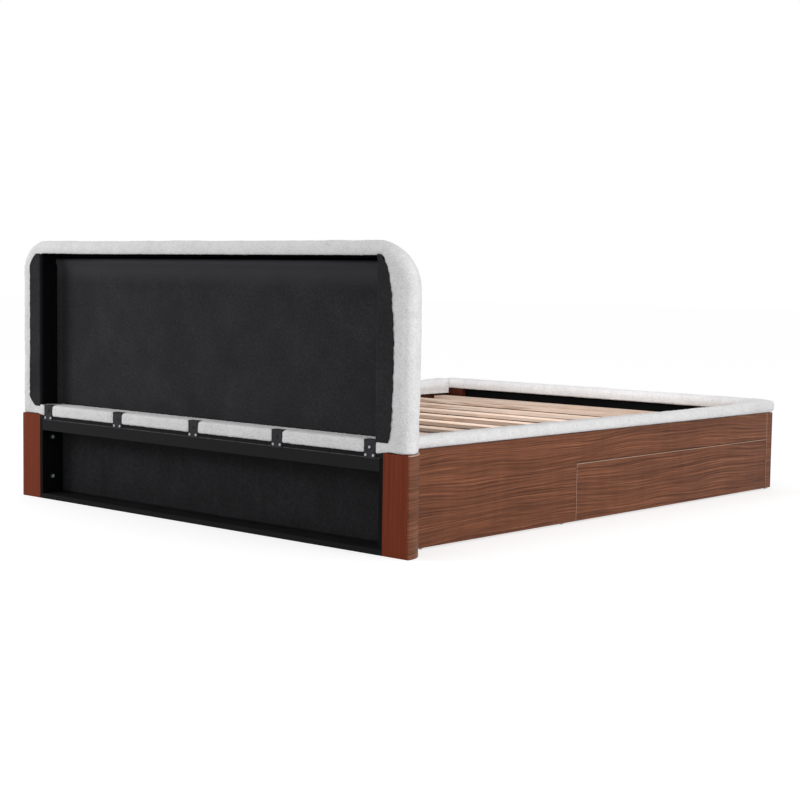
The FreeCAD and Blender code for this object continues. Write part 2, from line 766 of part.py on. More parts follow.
def foot_section(x):
    """Closed section of the foot pad at one X: it steps up over the board inside the foot panel."""
    front = size("back_y - bed_length - pad_proud")
    back = size("back_y - foot_pad_back")
    step = size("back_y - bed_length + panel_thick")
    low = size("pad_bottom")
    high = size("foot_pad_bottom")
    top = size("wood_top + foot_pad_height")
    radius = size("foot_pad_radius")
    hem = size("side_pad_radius") / 2
    roll = radius * (1 - 0.5 ** 0.5)
    turn = hem * (1 - 0.5 ** 0.5)
    edges = [Part.Arc(Vector(x, front + hem, low), Vector(x, front + turn, low + turn),
                      Vector(x, front, low + hem)).toShape(),
             Part.makeLine(Vector(x, front, low + hem), Vector(x, front, top - radius)),
             Part.Arc(Vector(x, front, top - radius), Vector(x, front + roll, top - roll),
                      Vector(x, front + radius, top)).toShape(),
             Part.makeLine(Vector(x, front + radius, top), Vector(x, back - radius, top)),
             Part.Arc(Vector(x, back - radius, top), Vector(x, back - roll, top - roll),
                      Vector(x, back, top - radius)).toShape(),
             Part.makeLine(Vector(x, back, top - radius), Vector(x, back, high)),
             Part.makeLine(Vector(x, back, high), Vector(x, step, high)),
             Part.makeLine(Vector(x, step, high), Vector(x, step, low)),
             Part.makeLine(Vector(x, step, low), Vector(x, front + hem, low))]
    return Part.Wire(edges)


def corner_prism():
    """A tall block of the rim's outer plan, its two foot corners rounded."""
    half = size("pad_outer")
    front = size("back_y - bed_length - pad_proud")
    block = Part.makeBox(2 * half, size("overall_length"), size("headboard_height"), Vector(-half, front, 0))
    corners = [edge for edge in block.Edges
               if abs(edge.tangentAt(0).z) > 0.9 and abs(edge.CenterOfMass.y - front) < size("overrun")]
    return block.makeFillet(size("pad_corner_radius"), corners)


def mitre_prism():
    """The plan region of the right side pad: it ends on the mitre line at the foot corner."""
    inner = size("pad_inner")
    outer = size("pad_outer")
    back = size("back_y - foot_pad_back")
    front = size("back_y - bed_length - pad_proud")
    start = size("back_y - cover_depth - seat_gap")
    points = [Vector(inner, start, 0), Vector(outer, start, 0), Vector(outer, front, 0),
              Vector(inner, back, 0), Vector(inner, start, 0)]
    return Part.Face(Part.makePolygon(points)).extrude(Vector(0, 0, size("headboard_height")))


def make_rim():
    """Side pads that rise into the corners and the taller foot pad, mitred together."""
    battens = [side_board(f"side_batten_{side}", side, "panel_inner - batten_width", "base_depth",
                          "batten_bottom", "batten_width", "foot_inside - base_depth", "batten_height")
               for side in ("left", "right")]
    node(group("side_battens", battens))
    height = size("side_pad_height")
    tall = size("foot_pad_height")
    radius = size("side_pad_radius")
    start = size("back_y - cover_depth - seat_gap")
    ramp = size("back_y - foot_pad_back + pad_ramp_length")
    back = size("back_y - foot_pad_back")
    end = size("back_y - bed_length - pad_proud")
    run = Part.makeLoft([rim_section(start, height, radius), rim_section(ramp, height, radius)], True, True)
    rise = Part.makeLoft([rim_section(ramp, height, radius), rim_section(back, tall, radius)], True, True)
    corner = Part.makeLoft([rim_section(back, tall, radius), rim_section(end, tall, radius)], True, True)
    bar = run.fuse([rise, corner]).removeSplitter()
    right = bar.common(mitre_prism()).common(corner_prism())
    side_pad = doc.addObject("Part::Feature", "side_pad_right")
    side_pad.Shape = right.Solids[0]
    side_pad.Placement = Placement()
    node(mirrored("side_pad_left", side_pad))
    node(side_pad)
    half = size("pad_outer")
    foot = Part.makeLoft([foot_section(-half), foot_section(half)], True, True)
    mitre = mitre_prism()
    other = mitre.mirror(Vector(), Vector(1, 0, 0))
    foot = foot.common(corner_prism()).cut([mitre, other])
    foot_pad = doc.addObject("Part::Feature", "foot_pad")
    foot_pad.Shape = foot.Solids[0]
    foot_pad.Placement = Placement()
    node(foot_pad)


# Slats, ledges, centre beam and what stands on the floor

def slat_middle(number):
    """Depth of one slat's middle line, counted from the head."""
    first = "(base_depth + slat_head_gap)"
    last = "(foot_inside - slat_foot_gap)"
    return f"{first} + {number - 1} * ({last} - {first}) / {SLAT_COUNT - 1}"


def make_slats():
    """Pine slats across the bed, screwed to the ledges, with the ledges and the centre beam."""
    screws = []
    for number in range(1, SLAT_COUNT + 1):
        middle = slat_middle(number)
        blank = board(f"slat_blank_{number:02d}", "-slat_half", f"{middle} - slat_width / 2", "slat_bottom",
                      "2 * slat_half", "slat_width", "slat_thick")
        tools = []
        for side, sign in (("left", "-"), ("right", "")):
            x = f"{sign}(slat_half - slat_screw_inset)"
            tools.append(sunk_screw(f"slat_bore_{number:02d}_{side}", x, middle, "screw_seat"))
            tools.append(rod(f"slat_dip_{number:02d}_{side}", x, middle, "screw_seat",
                             "slat_screw_head", "slat_screw_sink + overrun"))
            screws.append(sunk_screw(f"slat_screw_{number:02d}_{side}", x, middle, "screw_seat"))
        node(cut(f"slat_{number:02d}", blank, tools))
    node(group("slat_screws", screws))
    ledges = []
    for side, sign in (("left", "-"), ("right", "")):
        blank = side_board(f"slat_ledge_blank_{side}", side, "ledge_inner", "base_depth + rail_bracket_thick",
                           "ledge_bottom", "ledge_width", "foot_inside - base_depth - rail_bracket_thick",
                           "ledge_height")
        tools = [sunk_screw(f"slat_pilot_{number:02d}_{side}", f"{sign}(slat_half - slat_screw_inset)",
                            slat_middle(number), "screw_seat") for number in range(1, SLAT_COUNT + 1)]
        ledges.append(cut(f"slat_ledge_{side}", blank, tools))
    node(group("slat_ledges", ledges))
    node(board("centre_beam", "-beam_width / 2", "base_depth", "beam_bottom", "beam_width",
               "foot_inside - base_depth", "beam_height"))


def leg_depth(number):
    """Depth of one centre leg's middle."""
    return f"leg_end_distance + {number - 1} * (bed_length - 2 * leg_end_distance) / {LEG_COUNT - 1}"


def make_legs():
    """Legs under the centre beam and the glides under legs, side panels and foot panel."""
    legs = [board(f"centre_leg_{number}", "-leg_width / 2", f"{leg_depth(number)} - leg_width / 2",
                  "leg_glide_height", "leg_width", "leg_width", "beam_bottom - leg_glide_height")
            for number in range(1, LEG_COUNT + 1)]
    node(group("centre_legs", legs))
    glides = [rod(f"leg_glide_{number}", "0", leg_depth(number), "0", "leg_glide_diameter",
                  "leg_glide_height") for number in range(1, LEG_COUNT + 1)]
    places = []
    for sign in ("-", ""):
        for depth in ("base_depth + rail_glide_inset", "bay_start - rail_glide_inset",
                      "bay_end + foot_stile / 2"):
            places.append((f"{sign}(frame_half - panel_thick / 2)", depth))
        places.append((f"{sign}frame_half / 2", "bed_length - panel_thick / 2"))
    for number, (x, depth) in enumerate(places, start=1):
        glides.append(rod(f"rail_glide_{number}", x, depth, "0", "rail_glide_diameter", "floor_gap"))
    node(group("floor_glides", glides))


# Drawer bays, slides and drawers

def make_bays():
    """Cross dividers on the head side of the bays and packers on the foot side."""
    dividers = [side_board(f"drawer_divider_{side}", side, "beam_width / 2", "bay_start - divider_thick",
                           "board_lift", "panel_inner - beam_width / 2", "divider_thick",
                           "ledge_bottom - board_lift") for side in ("left", "right")]
    node(group("drawer_dividers", dividers))
    packers = [side_board(f"slide_packer_{side}", side, "slide_back", "bay_end",
                          "slide_axis_height - packer_height / 2", "panel_inner - slide_back",
                          "foot_inside - bay_end", "packer_height") for side in ("left", "right")]
    node(group("slide_packers", packers))


def channel(name, side, end, height, start, lip, facing):
    """A folded steel channel along X. Its web starts at a distance from the bay's wall."""
    wall = "bay_start" if end == "head" else "bay_end"
    sign = "+" if end == "head" else "-"
    far = f"{start} + slide_metal"
    tip = f"{start} + ({lip})"
    low = f"slide_axis_height - ({height}) / 2"
    high = f"slide_axis_height + ({height}) / 2"
    if facing == "wall":
        far = f"{start} - slide_metal"
        tip = f"{start} - ({lip})"
    across = [(start, low), (start, high), (tip, high), (tip, f"{high} - slide_metal"),
              (far, f"{high} - slide_metal"), (far, f"{low} + slide_metal"),
              (tip, f"{low} + slide_metal"), (tip, low)]
    corners = [(f"back_y - ({wall} {sign} ({depth}))", z) for depth, z in across]
    offset = "slide_back" if side == "right" else "-slide_back - slide_length"
    body, _pad = padded(name, "YZ_Plane", corners, offset, "slide_length")
    return body


def make_slides():
    """Three nested channels at each end of each drawer."""
    inner_height = "slide_height - 2 * slide_metal - 2 * slide_play"
    smallest = "slide_height - 4 * slide_metal - 4 * slide_play"
    outers = []
    middles = {}
    inners = {}
    for side in ("left", "right"):
        middles[side] = []
        inners[side] = []
        for end in ("head", "foot"):
            outers.append(channel(f"slide_outer_{side}_{end}", side, end, "slide_height", "0",
                                  "slide_lip", "drawer"))
            middles[side].append(channel(f"slide_middle_{side}_{end}", side, end, inner_height,
                                         "slide_metal + slide_play", "slide_lip", "drawer"))
            inners[side].append(channel(f"slide_inner_{side}_{end}", side, end, smallest,
                                        "slide_width", "slide_lip", "wall"))
    node(group("slide_outer_members", outers))
    for side in ("left", "right"):
        node(group(f"slide_middle_{side}", middles[side]))
        node(group(f"slide_inner_{side}", inners[side]))


def make_drawers():
    """Each drawer: veneered front, two sides and a back, and a plywood floor."""
    for side in ("left", "right"):
        node(side_board(f"drawer_front_{side}", side, "panel_inner", "bay_start + drawer_gap", "floor_gap",
                        "drawer_front_thick", "bay_end - bay_start - 2 * drawer_gap",
                        "bay_height - drawer_gap - floor_gap"))
        walls = [side_board(f"drawer_side_{side}_{end}", side, "box_inner", depth, "drawer_box_bottom",
                            "drawer_box_reach", "drawer_board_thick", "drawer_box_height")
                 for end, depth in (("head", "box_head"), ("foot", "box_foot - drawer_board_thick"))]
        walls.append(side_board(f"drawer_back_{side}", side, "box_inner", "box_head + drawer_board_thick",
                                "drawer_box_bottom", "drawer_board_thick",
                                "box_foot - box_head - 2 * drawer_board_thick", "drawer_box_height"))
        node(group(f"drawer_walls_{side}", walls))
        node(side_board(f"drawer_floor_{side}", side, "box_inner + drawer_board_thick",
                        "box_head + drawer_board_thick", "drawer_box_bottom + drawer_floor_lift",
                        "drawer_box_reach - drawer_board_thick",
                        "box_foot - box_head - 2 * drawer_board_thick", "drawer_floor_thick"))


def check_and_write():
    """Stop on any failed object, then write each sub-part to its own file."""
    doc.recompute()
    for item in doc.Objects:
        if "Invalid" in item.State or "Error" in item.State:
            raise RuntimeError(f"{item.Name} failed: {item.State}")
    os.makedirs("parts", exist_ok=True)
    for item in nodes:
        shape = item.Shape
        if shape.isNull() or not shape.isValid() or not shape.Solids:
            raise RuntimeError(f"{item.Label} has no valid solid")
    for item in nodes:
        item.Shape.exportStep(f"parts/{item.Label}.step")
        print(f"{item.Label}: {len(item.Shape.Solids)} solids, {item.Shape.Volume / 1000:.1f} cm3")


fill_sheet()
make_cover()
make_head_frame()
make_joining_brackets()
make_bracket_screws()
make_base_box()
make_posts()
make_post_bolts()
make_rail_brackets()
make_side_panels()
make_foot_end()
make_rim()
make_slats()
make_legs()
make_bays()
make_slides()
make_drawers()
check_and_write()
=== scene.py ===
"""Looks of the upholstered platform bed: materials, soft pieces, camera and light."""
import bmesh
import bpy
import math
import numpy as np
from mathutils import Matrix, Vector, noise


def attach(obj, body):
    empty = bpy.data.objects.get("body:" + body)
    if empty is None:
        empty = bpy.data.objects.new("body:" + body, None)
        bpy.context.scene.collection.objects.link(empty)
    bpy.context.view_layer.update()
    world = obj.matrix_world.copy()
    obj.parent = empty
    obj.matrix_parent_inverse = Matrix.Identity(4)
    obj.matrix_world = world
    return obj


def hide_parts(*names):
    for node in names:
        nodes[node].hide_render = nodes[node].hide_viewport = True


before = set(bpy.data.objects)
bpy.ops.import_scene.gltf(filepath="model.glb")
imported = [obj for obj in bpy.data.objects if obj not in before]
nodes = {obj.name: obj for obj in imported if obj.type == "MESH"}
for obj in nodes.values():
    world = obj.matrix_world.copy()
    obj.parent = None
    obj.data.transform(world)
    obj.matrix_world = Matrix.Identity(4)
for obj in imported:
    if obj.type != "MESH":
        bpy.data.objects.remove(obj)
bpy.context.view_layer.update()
scene = bpy.context.scene
scene.view_settings.view_transform = "Standard"

# The bed's main sizes in metres, as in the part; depths and lengths run from the back plane, y = BACK
BACK = 1.1104
BASE_HEIGHT = 0.296
COVER_DEPTH = 0.118
COVER_BOTTOM = 0.2963
RECESS_HALF = 0.802
RECESS_BOTTOM = 0.329
RECESS_TOP = 0.857
RECESS_DEPTH = 0.075
PAD_OUTER = 0.836
PAD_INNER = 0.767
BED_LENGTH = 2.216
FOOT_PAD_BACK = 2.158
PAD_PROUD = 0.009
BRACKETS = (-0.768, -0.384, 0.0, 0.384, 0.768)

# Places that the materials need
PAST_NEAR_BRACKET = -0.6
BOLT_MIDDLE = 0.1455
BOLT_SPREAD = 0.0695
BOLT_PLACE = BACK - 0.039
BOLT_HEAD_RADIUS = 0.0062
SLAT_LOW = 0.2578
# Heights over which the back lining's painted highlight grows paler
TOP_HIGHLIGHT_FROM = 0.745
TOP_HIGHLIGHT_TO = 0.835
# Height and half width of the painted highlight along the top rail's upper edge
TOP_EDGE_HIGHLIGHT = (0.2792, 0.0009)
DRAWER_TOP = 0.1945
DRAWER_HEAD = BACK - 0.9305
STILE_LINE = BACK - 2.1738
STILE_END = BACK - 2.212
LINE_HALF = 0.0011
SEAM_HALF = 0.0016


# Node graphs

class Graph:
    """A short way to write a material's node graph; texture scales are per metre."""

    def __init__(self, name):
        self.material = bpy.data.materials.new(name)
        self.material.use_nodes = True
        self.tree = self.material.node_tree
        self.tree.nodes.clear()
        output = self.add("ShaderNodeOutputMaterial")
        self.shader = self.add("ShaderNodeBsdfPrincipled")
        self.link(self.shader.outputs[0], output.inputs["Surface"])
        self.point = self.add("ShaderNodeTexCoord").outputs["Object"]

    def add(self, kind, **settings):
        """A new node with its settings."""
        item = self.tree.nodes.new(kind)
        for key, value in settings.items():
            setattr(item, key, value)
        return item

    def link(self, source, target):
        """Give an input a fixed value, or join another node's output to it."""
        if isinstance(source, (int, float, tuple, list)):
            target.default_value = source
        else:
            self.tree.links.new(source, target)

    def math(self, operation, a, b=0.0, clamp=False):
        """One step of arithmetic."""
        item = self.add("ShaderNodeMath", operation=operation, use_clamp=clamp)
        self.link(a, item.inputs[0])
        self.link(b, item.inputs[1])
        return item.outputs[0]

    def plus(self, a, b):
        """Sum."""
        return self.math("ADD", a, b)

    def minus(self, a, b):
        """Difference."""
        return self.math("SUBTRACT", a, b)

    def times(self, a, b):
        """Product."""
        return self.math("MULTIPLY", a, b)

    def weigh(self, first, *others):
        """Sum of values, each times its share."""
        total = self.times(*first)
        for part in others:
            total = self.plus(total, self.times(*part))
        return total

    def near(self, value, place, half):
        """1 where a value lies within half of a place, 0 elsewhere."""
        mask = self.math("COMPARE", value, place)
        mask.node.inputs[2].default_value = half
        return mask

    def split(self, vector):
        """The x, y and z of a vector."""
        item = self.add("ShaderNodeSeparateXYZ")
        self.link(vector, item.inputs[0])
        return item.outputs

    def join(self, x, y, z):
        """A vector from x, y and z."""
        item = self.add("ShaderNodeCombineXYZ")
        for value, target in zip((x, y, z), item.inputs):
            self.link(value, target)
        return item.outputs[0]

    def noise(self, vector, scale, detail=2.0, roughness=0.5):
        """Smooth noise, 0 to 1."""
        item = self.add("ShaderNodeTexNoise")
        self.link(vector, item.inputs["Vector"])
        item.inputs["Scale"].default_value = scale
        item.inputs["Detail"].default_value = detail
        item.inputs["Roughness"].default_value = roughness
        return item.outputs["Fac"]

    def grain(self, run, run_scale, across, across_scale, seed=0.0, detail=2.0, roughness=0.5):
        """Noise drawn out along one direction, as in wood."""
        point = self.join(self.times(run, run_scale), self.times(across, across_scale), seed)
        return self.noise(point, 1.0, detail, roughness)

    def voronoi(self, vector, scale, randomness=1.0):
        """Distance to the nearest of scattered points."""
        item = self.add("ShaderNodeTexVoronoi")
        self.link(vector, item.inputs["Vector"])
        item.inputs["Scale"].default_value = scale
        item.inputs["Randomness"].default_value = randomness
        return item.outputs["Distance"]

    def ramp(self, value, stops):
        """A colour for each value, blended between stops of (place, colour)."""
        item = self.add("ShaderNodeValToRGB")
        self.link(value, item.inputs[0])
        points = item.color_ramp.elements
        while len(points) < len(stops):
            points.new(0.5)
        for point, (place, color) in zip(points, stops):
            point.position = place
            point.color = color
        return item.outputs[0]

    def steps(self, value, low, high, start=0.0, end=1.0):
        """A smooth step from start to end while the value goes from low to high."""
        item = self.add("ShaderNodeMapRange", clamp=True, interpolation_type="SMOOTHSTEP")
        self.link(value, item.inputs["Value"])
        item.inputs["From Min"].default_value = low
        item.inputs["From Max"].default_value = high
        item.inputs["To Min"].default_value = start
        item.inputs["To Max"].default_value = end
        return item.outputs["Result"]

    def mix(self, factor, a, b):
        """A blend of two colours."""
        item = self.add("ShaderNodeMix", data_type="RGBA")
        self.link(factor, item.inputs["Factor"])
        self.link(a, item.inputs[6])
        self.link(b, item.inputs[7])
        return item.outputs[2]

    def surface(self, color, roughness, specular=0.5, **others):
        """The shader's colour, roughness, mirror share and other fixed inputs."""
        self.link(color, self.shader.inputs["Base Color"])
        self.link(roughness, self.shader.inputs["Roughness"])
        self.link(specular, self.shader.inputs["Specular IOR Level"])
        for key, value in others.items():
            self.link(value, self.shader.inputs[key.replace("_", " ").title()])

    def bump(self, height, distance, strength):
        """Fine relief, up to a distance high."""
        item = self.add("ShaderNodeBump")
        self.link(height, item.inputs["Height"])
        item.inputs["Distance"].default_value = distance
        item.inputs["Strength"].default_value = strength
        self.link(item.outputs[0], self.shader.inputs["Normal"])


def srgb(red, green, blue):
    """A colour written as 0 to 255 display values, as linear numbers."""
    def linear(value):
        value /= 255
        return value / 12.92 if value <= 0.04045 else ((value + 0.055) / 1.055) ** 2.4
    return (linear(red), linear(green), linear(blue), 1.0)


def tones(*stops, share=1.0, light=0):
    """Colour stops from (place, red, green, blue), each value times a share and a little lighter."""
    return [(place, srgb(*(value * share + light for value in color))) for place, *color in stops]


def darker(color, share):
    """A linear colour with a share of its light."""
    return tuple(share * value for value in color[:3]) + (1.0,)


# Materials

def boucle():
    """Short looped yarn: rounded knots a few millimetres across, with shaded gaps between."""
    g = Graph("boucle_off_white")
    warp = g.noise(g.point, 90.0, 2.0)
    shift = g.add("ShaderNodeVectorMath", operation="SCALE")
    g.link(g.join(warp, g.noise(g.point, 70.0, 1.0), warp), shift.inputs[0])
    shift.inputs["Scale"].default_value = 0.006
    moved = g.add("ShaderNodeVectorMath", operation="ADD")
    g.link(g.point, moved.inputs[0])
    g.link(shift.outputs[0], moved.inputs[1])
    loops = g.voronoi(moved.outputs[0], 210.0)
    fine = g.voronoi(moved.outputs[0], 520.0)
    knots = g.weigh((loops, 0.7), (fine, 0.3))
    patches = g.noise(g.point, 24.0, 4.0, 0.65)
    broad = g.noise(g.point, 3.5, 2.0, 0.5)
    tone = g.weigh((knots, 0.55), (patches, 0.5), (broad, 0.16))
    color = g.ramp(tone, tones((0.2, 239, 239, 240), (0.55, 231, 230, 231), (0.95, 203, 201, 201)))
    g.surface(color, 1.0, specular=0.15, sheen_weight=0.25, sheen_roughness=0.6)
    g.bump(g.plus(g.minus(1.0, knots), g.times(patches, 0.9)), 0.0022, 0.8)
    return g.material


def nonwoven(name, level, painted_highlight_top=False):
    """Spun black cloth: matt, with a fleck, the faint grid of its bonds and, when asked, a paler top that
    is a painted highlight.
    """
    g = Graph(name)
    fibre = g.noise(g.point, 420.0, 3.0, 0.7)
    speck = g.noise(g.point, 130.0, 3.0, 0.7)
    cloud = g.noise(g.point, 9.0, 3.0, 0.6)
    dots = g.voronoi(g.point, 330.0, 0.15)
    tone = g.weigh((fibre, 0.35), (cloud, 0.25), (speck, 0.4))
    dark = srgb(max(level - 12, 1), max(level - 13, 1), max(level - 11, 2))
    pale = srgb(1.25 * level + 4, 1.25 * level + 3, 1.25 * level + 6)
    color = g.ramp(tone, [(0.32, dark), (0.5, srgb(level, level - 1, level + 1)), (0.68, pale)])
    # Painted highlight: the cloth turns paler towards its top, as if it leaned out into the light there.
    if painted_highlight_top:
        top_highlight = g.steps(g.split(g.point)[2], TOP_HIGHLIGHT_FROM, TOP_HIGHLIGHT_TO)
        color = g.mix(top_highlight, color, srgb(1.48 * level, 1.46 * level, 1.54 * level))
    g.surface(color, g.steps(fibre, 0.2, 0.8, 0.86, 0.97), specular=0.08)
    g.bump(g.weigh((dots, 0.7), (fibre, 0.5)), 0.0006, 0.6)
    return g.material


def wood_axes(g, along):
    """Coordinates along the grain, across it and into the board; R runs round a post."""
    x, y, z = g.split(g.point)
    if along == "Y":
        return y, z, x
    if along == "X":
        return x, z, y
    if along == "Z":
        return z, x, y
    return g.plus(y, g.math("ABSOLUTE", x)), z, x


def veneer(name, along, seed, lines=()):
    """Walnut veneer: long fine streaks that wander a little, broad dark and light bands, short pores.

    A line is a seam or an edge of another colour, also used to paint a highlight or shade there: its axis,
    place, half width, colour and share.
    """
    g = Graph(name)
    run, rise, _ = wood_axes(g, along)
    run = g.plus(run, seed)

    def layer(run_scale, across_scale, across, detail, roughness=0.6, shift=0.0):
        return g.grain(run, run_scale, across, across_scale, seed + shift, detail, roughness)

    sway = g.minus(layer(0.75, 2.6, rise, 2.0), 0.5)
    across = g.plus(rise, g.times(sway, 0.12))
    wander = g.minus(layer(3.2, 9.0, rise, 2.0, shift=3.0), 0.5)
    across = g.plus(across, g.times(wander, 0.006))
    broad = layer(0.8, 30.0, across, 3.0)
    streak = layer(1.3, 165.0, across, 3.0, 0.65, 1.0)
    hair = layer(3.8, 330.0, across, 3.0, 0.7, 2.0)
    pore = layer(45.0, 1300.0, across, 1.0, shift=5.0)
    figure = layer(16.0, 3.0, rise, 2.0, shift=7.0)
    tone = g.weigh((broad, 0.16), (streak, 0.34), (hair, 0.5), (g.minus(figure, 0.5), 0.07))
    color = g.ramp(tone, tones((0.38, 64, 34, 18), (0.45, 91, 51, 31), (0.5, 107, 62, 39),
                               (0.55, 122, 73, 48), (0.63, 149, 96, 67)))
    pores = g.steps(pore, 0.6, 0.72)
    color = g.mix(g.times(pores, 0.4), color, srgb(50, 28, 20))
    for axis, place, half, tint, share in lines:
        mask = g.near(g.split(g.point)["XYZ".index(axis)], place, half)
        color = g.mix(g.times(mask, share), color, tint)
    g.surface(color, g.steps(streak, 0.3, 0.7, 0.56, 0.44), specular=0.16)
    g.bump(g.weigh((streak, 0.5), (pores, -0.8)), 0.0004, 0.35)
    return g.material


def red_brown(name, share=1.0):
    """Stained board with straight upright grain; a share under one darkens the stain, as painted shade."""
    g = Graph(name)
    run, rise, depth = wood_axes(g, "Z")
    across = g.plus(rise, depth)
    line = g.grain(run, 1.6, across, 190.0, 0.0, 3.0, 0.6)
    hair = g.grain(run, 14.0, across, 800.0)
    tone = g.weigh((line, 0.65), (hair, 0.35))
    stain = tones((0.34, 98, 40, 21), (0.5, 114, 49, 27), (0.66, 130, 59, 34), share=share)
    g.surface(g.ramp(tone, stain), 0.55, specular=0.08)
    g.bump(tone, 0.0003, 0.3)
    return g.material


def pine(name, along, seed, light, shade=0.0):
    """Planed pine: pale, with growth lines and a few knots; shade paints a dark line along the low edge, a
    painted shadow of the gap there.
    """
    g = Graph(name)
    x, y, z = g.split(g.point)
    run, rise, depth = {"X": (x, y, z), "Y": (y, x, z), "Z": (z, x, y)}[along]
    cell = g.join(g.plus(g.times(run, 1.3), seed * 7.3),
                  g.plus(g.times(rise, 5.0), seed),
                  g.times(depth, 5.0))
    knot = g.voronoi(cell, 1.0)
    bend = g.times(g.math("POWER", g.math("SUBTRACT", 1.0, knot, clamp=True), 3.0), 0.05)
    sway = g.noise(g.join(g.times(run, 1.2), rise, seed), 1.0, 2.0)
    across = g.plus(g.plus(rise, g.times(depth, 0.7)), g.times(sway, 0.03))
    across = g.plus(across, bend)
    growth = g.grain(run, 0.8, across, 130.0, seed)
    hair = g.grain(run, 12.0, across, 700.0, seed)
    tone = g.weigh((growth, 0.75), (hair, 0.25))
    pale = tones((0.33, 176, 143, 123), (0.5, 214, 189, 171), (0.67, 234, 215, 201), light=light)
    heart = g.steps(knot, 0.12, 0.04)
    color = g.mix(g.times(heart, 0.8), g.ramp(tone, pale), srgb(132, 86, 54))
    # Painted shadow: a wavering dark line along the slat's low edge, for the shade in the gap beside it.
    if shade:
        rim = g.noise(g.join(g.times(run, 2.2), seed, 0.0), 1.0, 2.0)
        line = g.plus(SLAT_LOW, g.times(rim, 0.0062))
        low = g.steps(g.minus(z, line), 0.0006, -0.0006)
        color = g.mix(g.times(low, shade), color, srgb(52, 34, 26))
    g.surface(color, 0.7, specular=0.14)
    g.bump(tone, 0.0004, 0.4)
    return g.material


def ply(name, base):
    """Plywood and light board: faint face grain, thin layers on the edges."""
    g = Graph(name)
    x, y, z = g.split(g.point)
    grain = g.noise(g.join(g.times(x, 4.0), g.times(y, 60.0), g.times(z, 60.0)), 1.0, 3.0, 0.6)
    speck = g.noise(g.point, 340.0, 2.0, 0.6)
    tone = g.weigh((grain, 0.7), (speck, 0.3))
    g.surface(g.ramp(tone, [(0.3, darker(base, 0.72)), (0.65, base)]), 0.6)
    g.bump(tone, 0.0003, 0.4)
    return g.material


def black_board(name, level, highlight_edge=None):
    """Board under thin black paint: slightly pebbled, greyer in patches of dust and rubbing, with a painted
    highlight along a given edge band.
    """
    g = Graph(name)
    pebble = g.noise(g.point, 650.0, 2.0, 0.5)
    wear = g.noise(g.point, 14.0, 4.0, 0.7)
    color = g.ramp(wear, tones((0.35, -3, -3, -2), (0.7, 5, 4, 6), light=level))
    # Painted highlight: a grey band along the given edge, as if the edge caught the light.
    if highlight_edge:
        mask = g.near(g.split(g.point)[2], *highlight_edge)
        highlight_patches = g.steps(g.noise(g.point, 45.0, 3.0, 0.7), 0.3, 0.6, 0.35, 1.0)
        color = g.mix(g.times(mask, highlight_patches), color, srgb(92, 90, 92))
    g.surface(color, g.steps(wear, 0.3, 0.7, 0.6, 0.75), specular=0.06)
    g.bump(pebble, 0.0003, 0.35)
    return g.material


def metal(name, color, roughness, metallic, relief, specular):
    """Coated or bare steel, or smooth plastic, with a fine surface texture."""
    g = Graph(name)
    speck = g.noise(g.point, 900.0, 2.0, 0.6)
    wear = g.noise(g.point, 60.0, 3.0, 0.6)
    shade = g.mix(g.steps(wear, 0.35, 0.7), color, darker(color, 0.8))
    rough = g.steps(wear, 0.3, 0.7, roughness - 0.06, roughness + 0.08)
    g.surface(shade, rough, specular, metallic=metallic)
    g.bump(speck, 0.0002, relief)
    return g.material


def fastener(name, color, dark_tone, mask_of):
    """Plated steel that is dark where mask_of gives 1."""
    g = Graph(name)
    speck = g.noise(g.point, 900.0, 2.0, 0.6)
    mask = mask_of(g)
    plated = g.mix(speck, color, darker(color, 0.85))
    rough = g.steps(mask, 0.0, 1.0, 0.42, 0.75)
    g.surface(g.mix(mask, plated, dark_tone), rough, specular=0.3, metallic=0.35)
    g.bump(speck, 0.0002, 0.3)
    return g.material


# Marks the high screws, which are drawn dark.
def dark_high_screws(g):
    """The high screws of all brackets but the near one."""
    x, y, z = g.split(g.point)
    high = g.math("GREATER_THAN", z, BASE_HEIGHT)
    return g.times(high, g.math("GREATER_THAN", x, PAST_NEAR_BRACKET))


def washer(g):
    """The ring of a post bolt outside its head."""
    x, y, z = g.split(g.point)
    rise = g.minus(g.math("ABSOLUTE", g.minus(z, BOLT_MIDDLE)), BOLT_SPREAD)
    run = g.minus(y, BOLT_PLACE)
    far = g.math("SQRT", g.plus(g.times(rise, rise), g.times(run, run)))
    return g.math("GREATER_THAN", far, BOLT_HEAD_RADIUS)


BOUCLE = boucle()
NONWOVEN = nonwoven("nonwoven_black", 44)
# The back lining carries a painted highlight along its top.
NONWOVEN_LIT_TOP = nonwoven("nonwoven_black_lining", 46, painted_highlight_top=True)
NONWOVEN_BASE = nonwoven("nonwoven_black_base", 37)
# Near-black copy of the cloth: painted shade on the recess's top and side walls.
NONWOVEN_SHADE = nonwoven("nonwoven_black_shade", 4)
BLACK_BOARD = black_board("black_painted_board", 5)
# Painted shade: the top board's black is darker than the rail's, for the shadow under the cover's overhang;
# the bottom board shares it.
BLACK_TOP_SHADED = black_board("black_top_board_shaded", 22)
# The top rail has a painted highlight along its upper edge.
BLACK_RAIL = black_board("black_top_rail", 30, TOP_EDGE_HIGHLIGHT)
RED_BROWN = red_brown("red_brown_board")
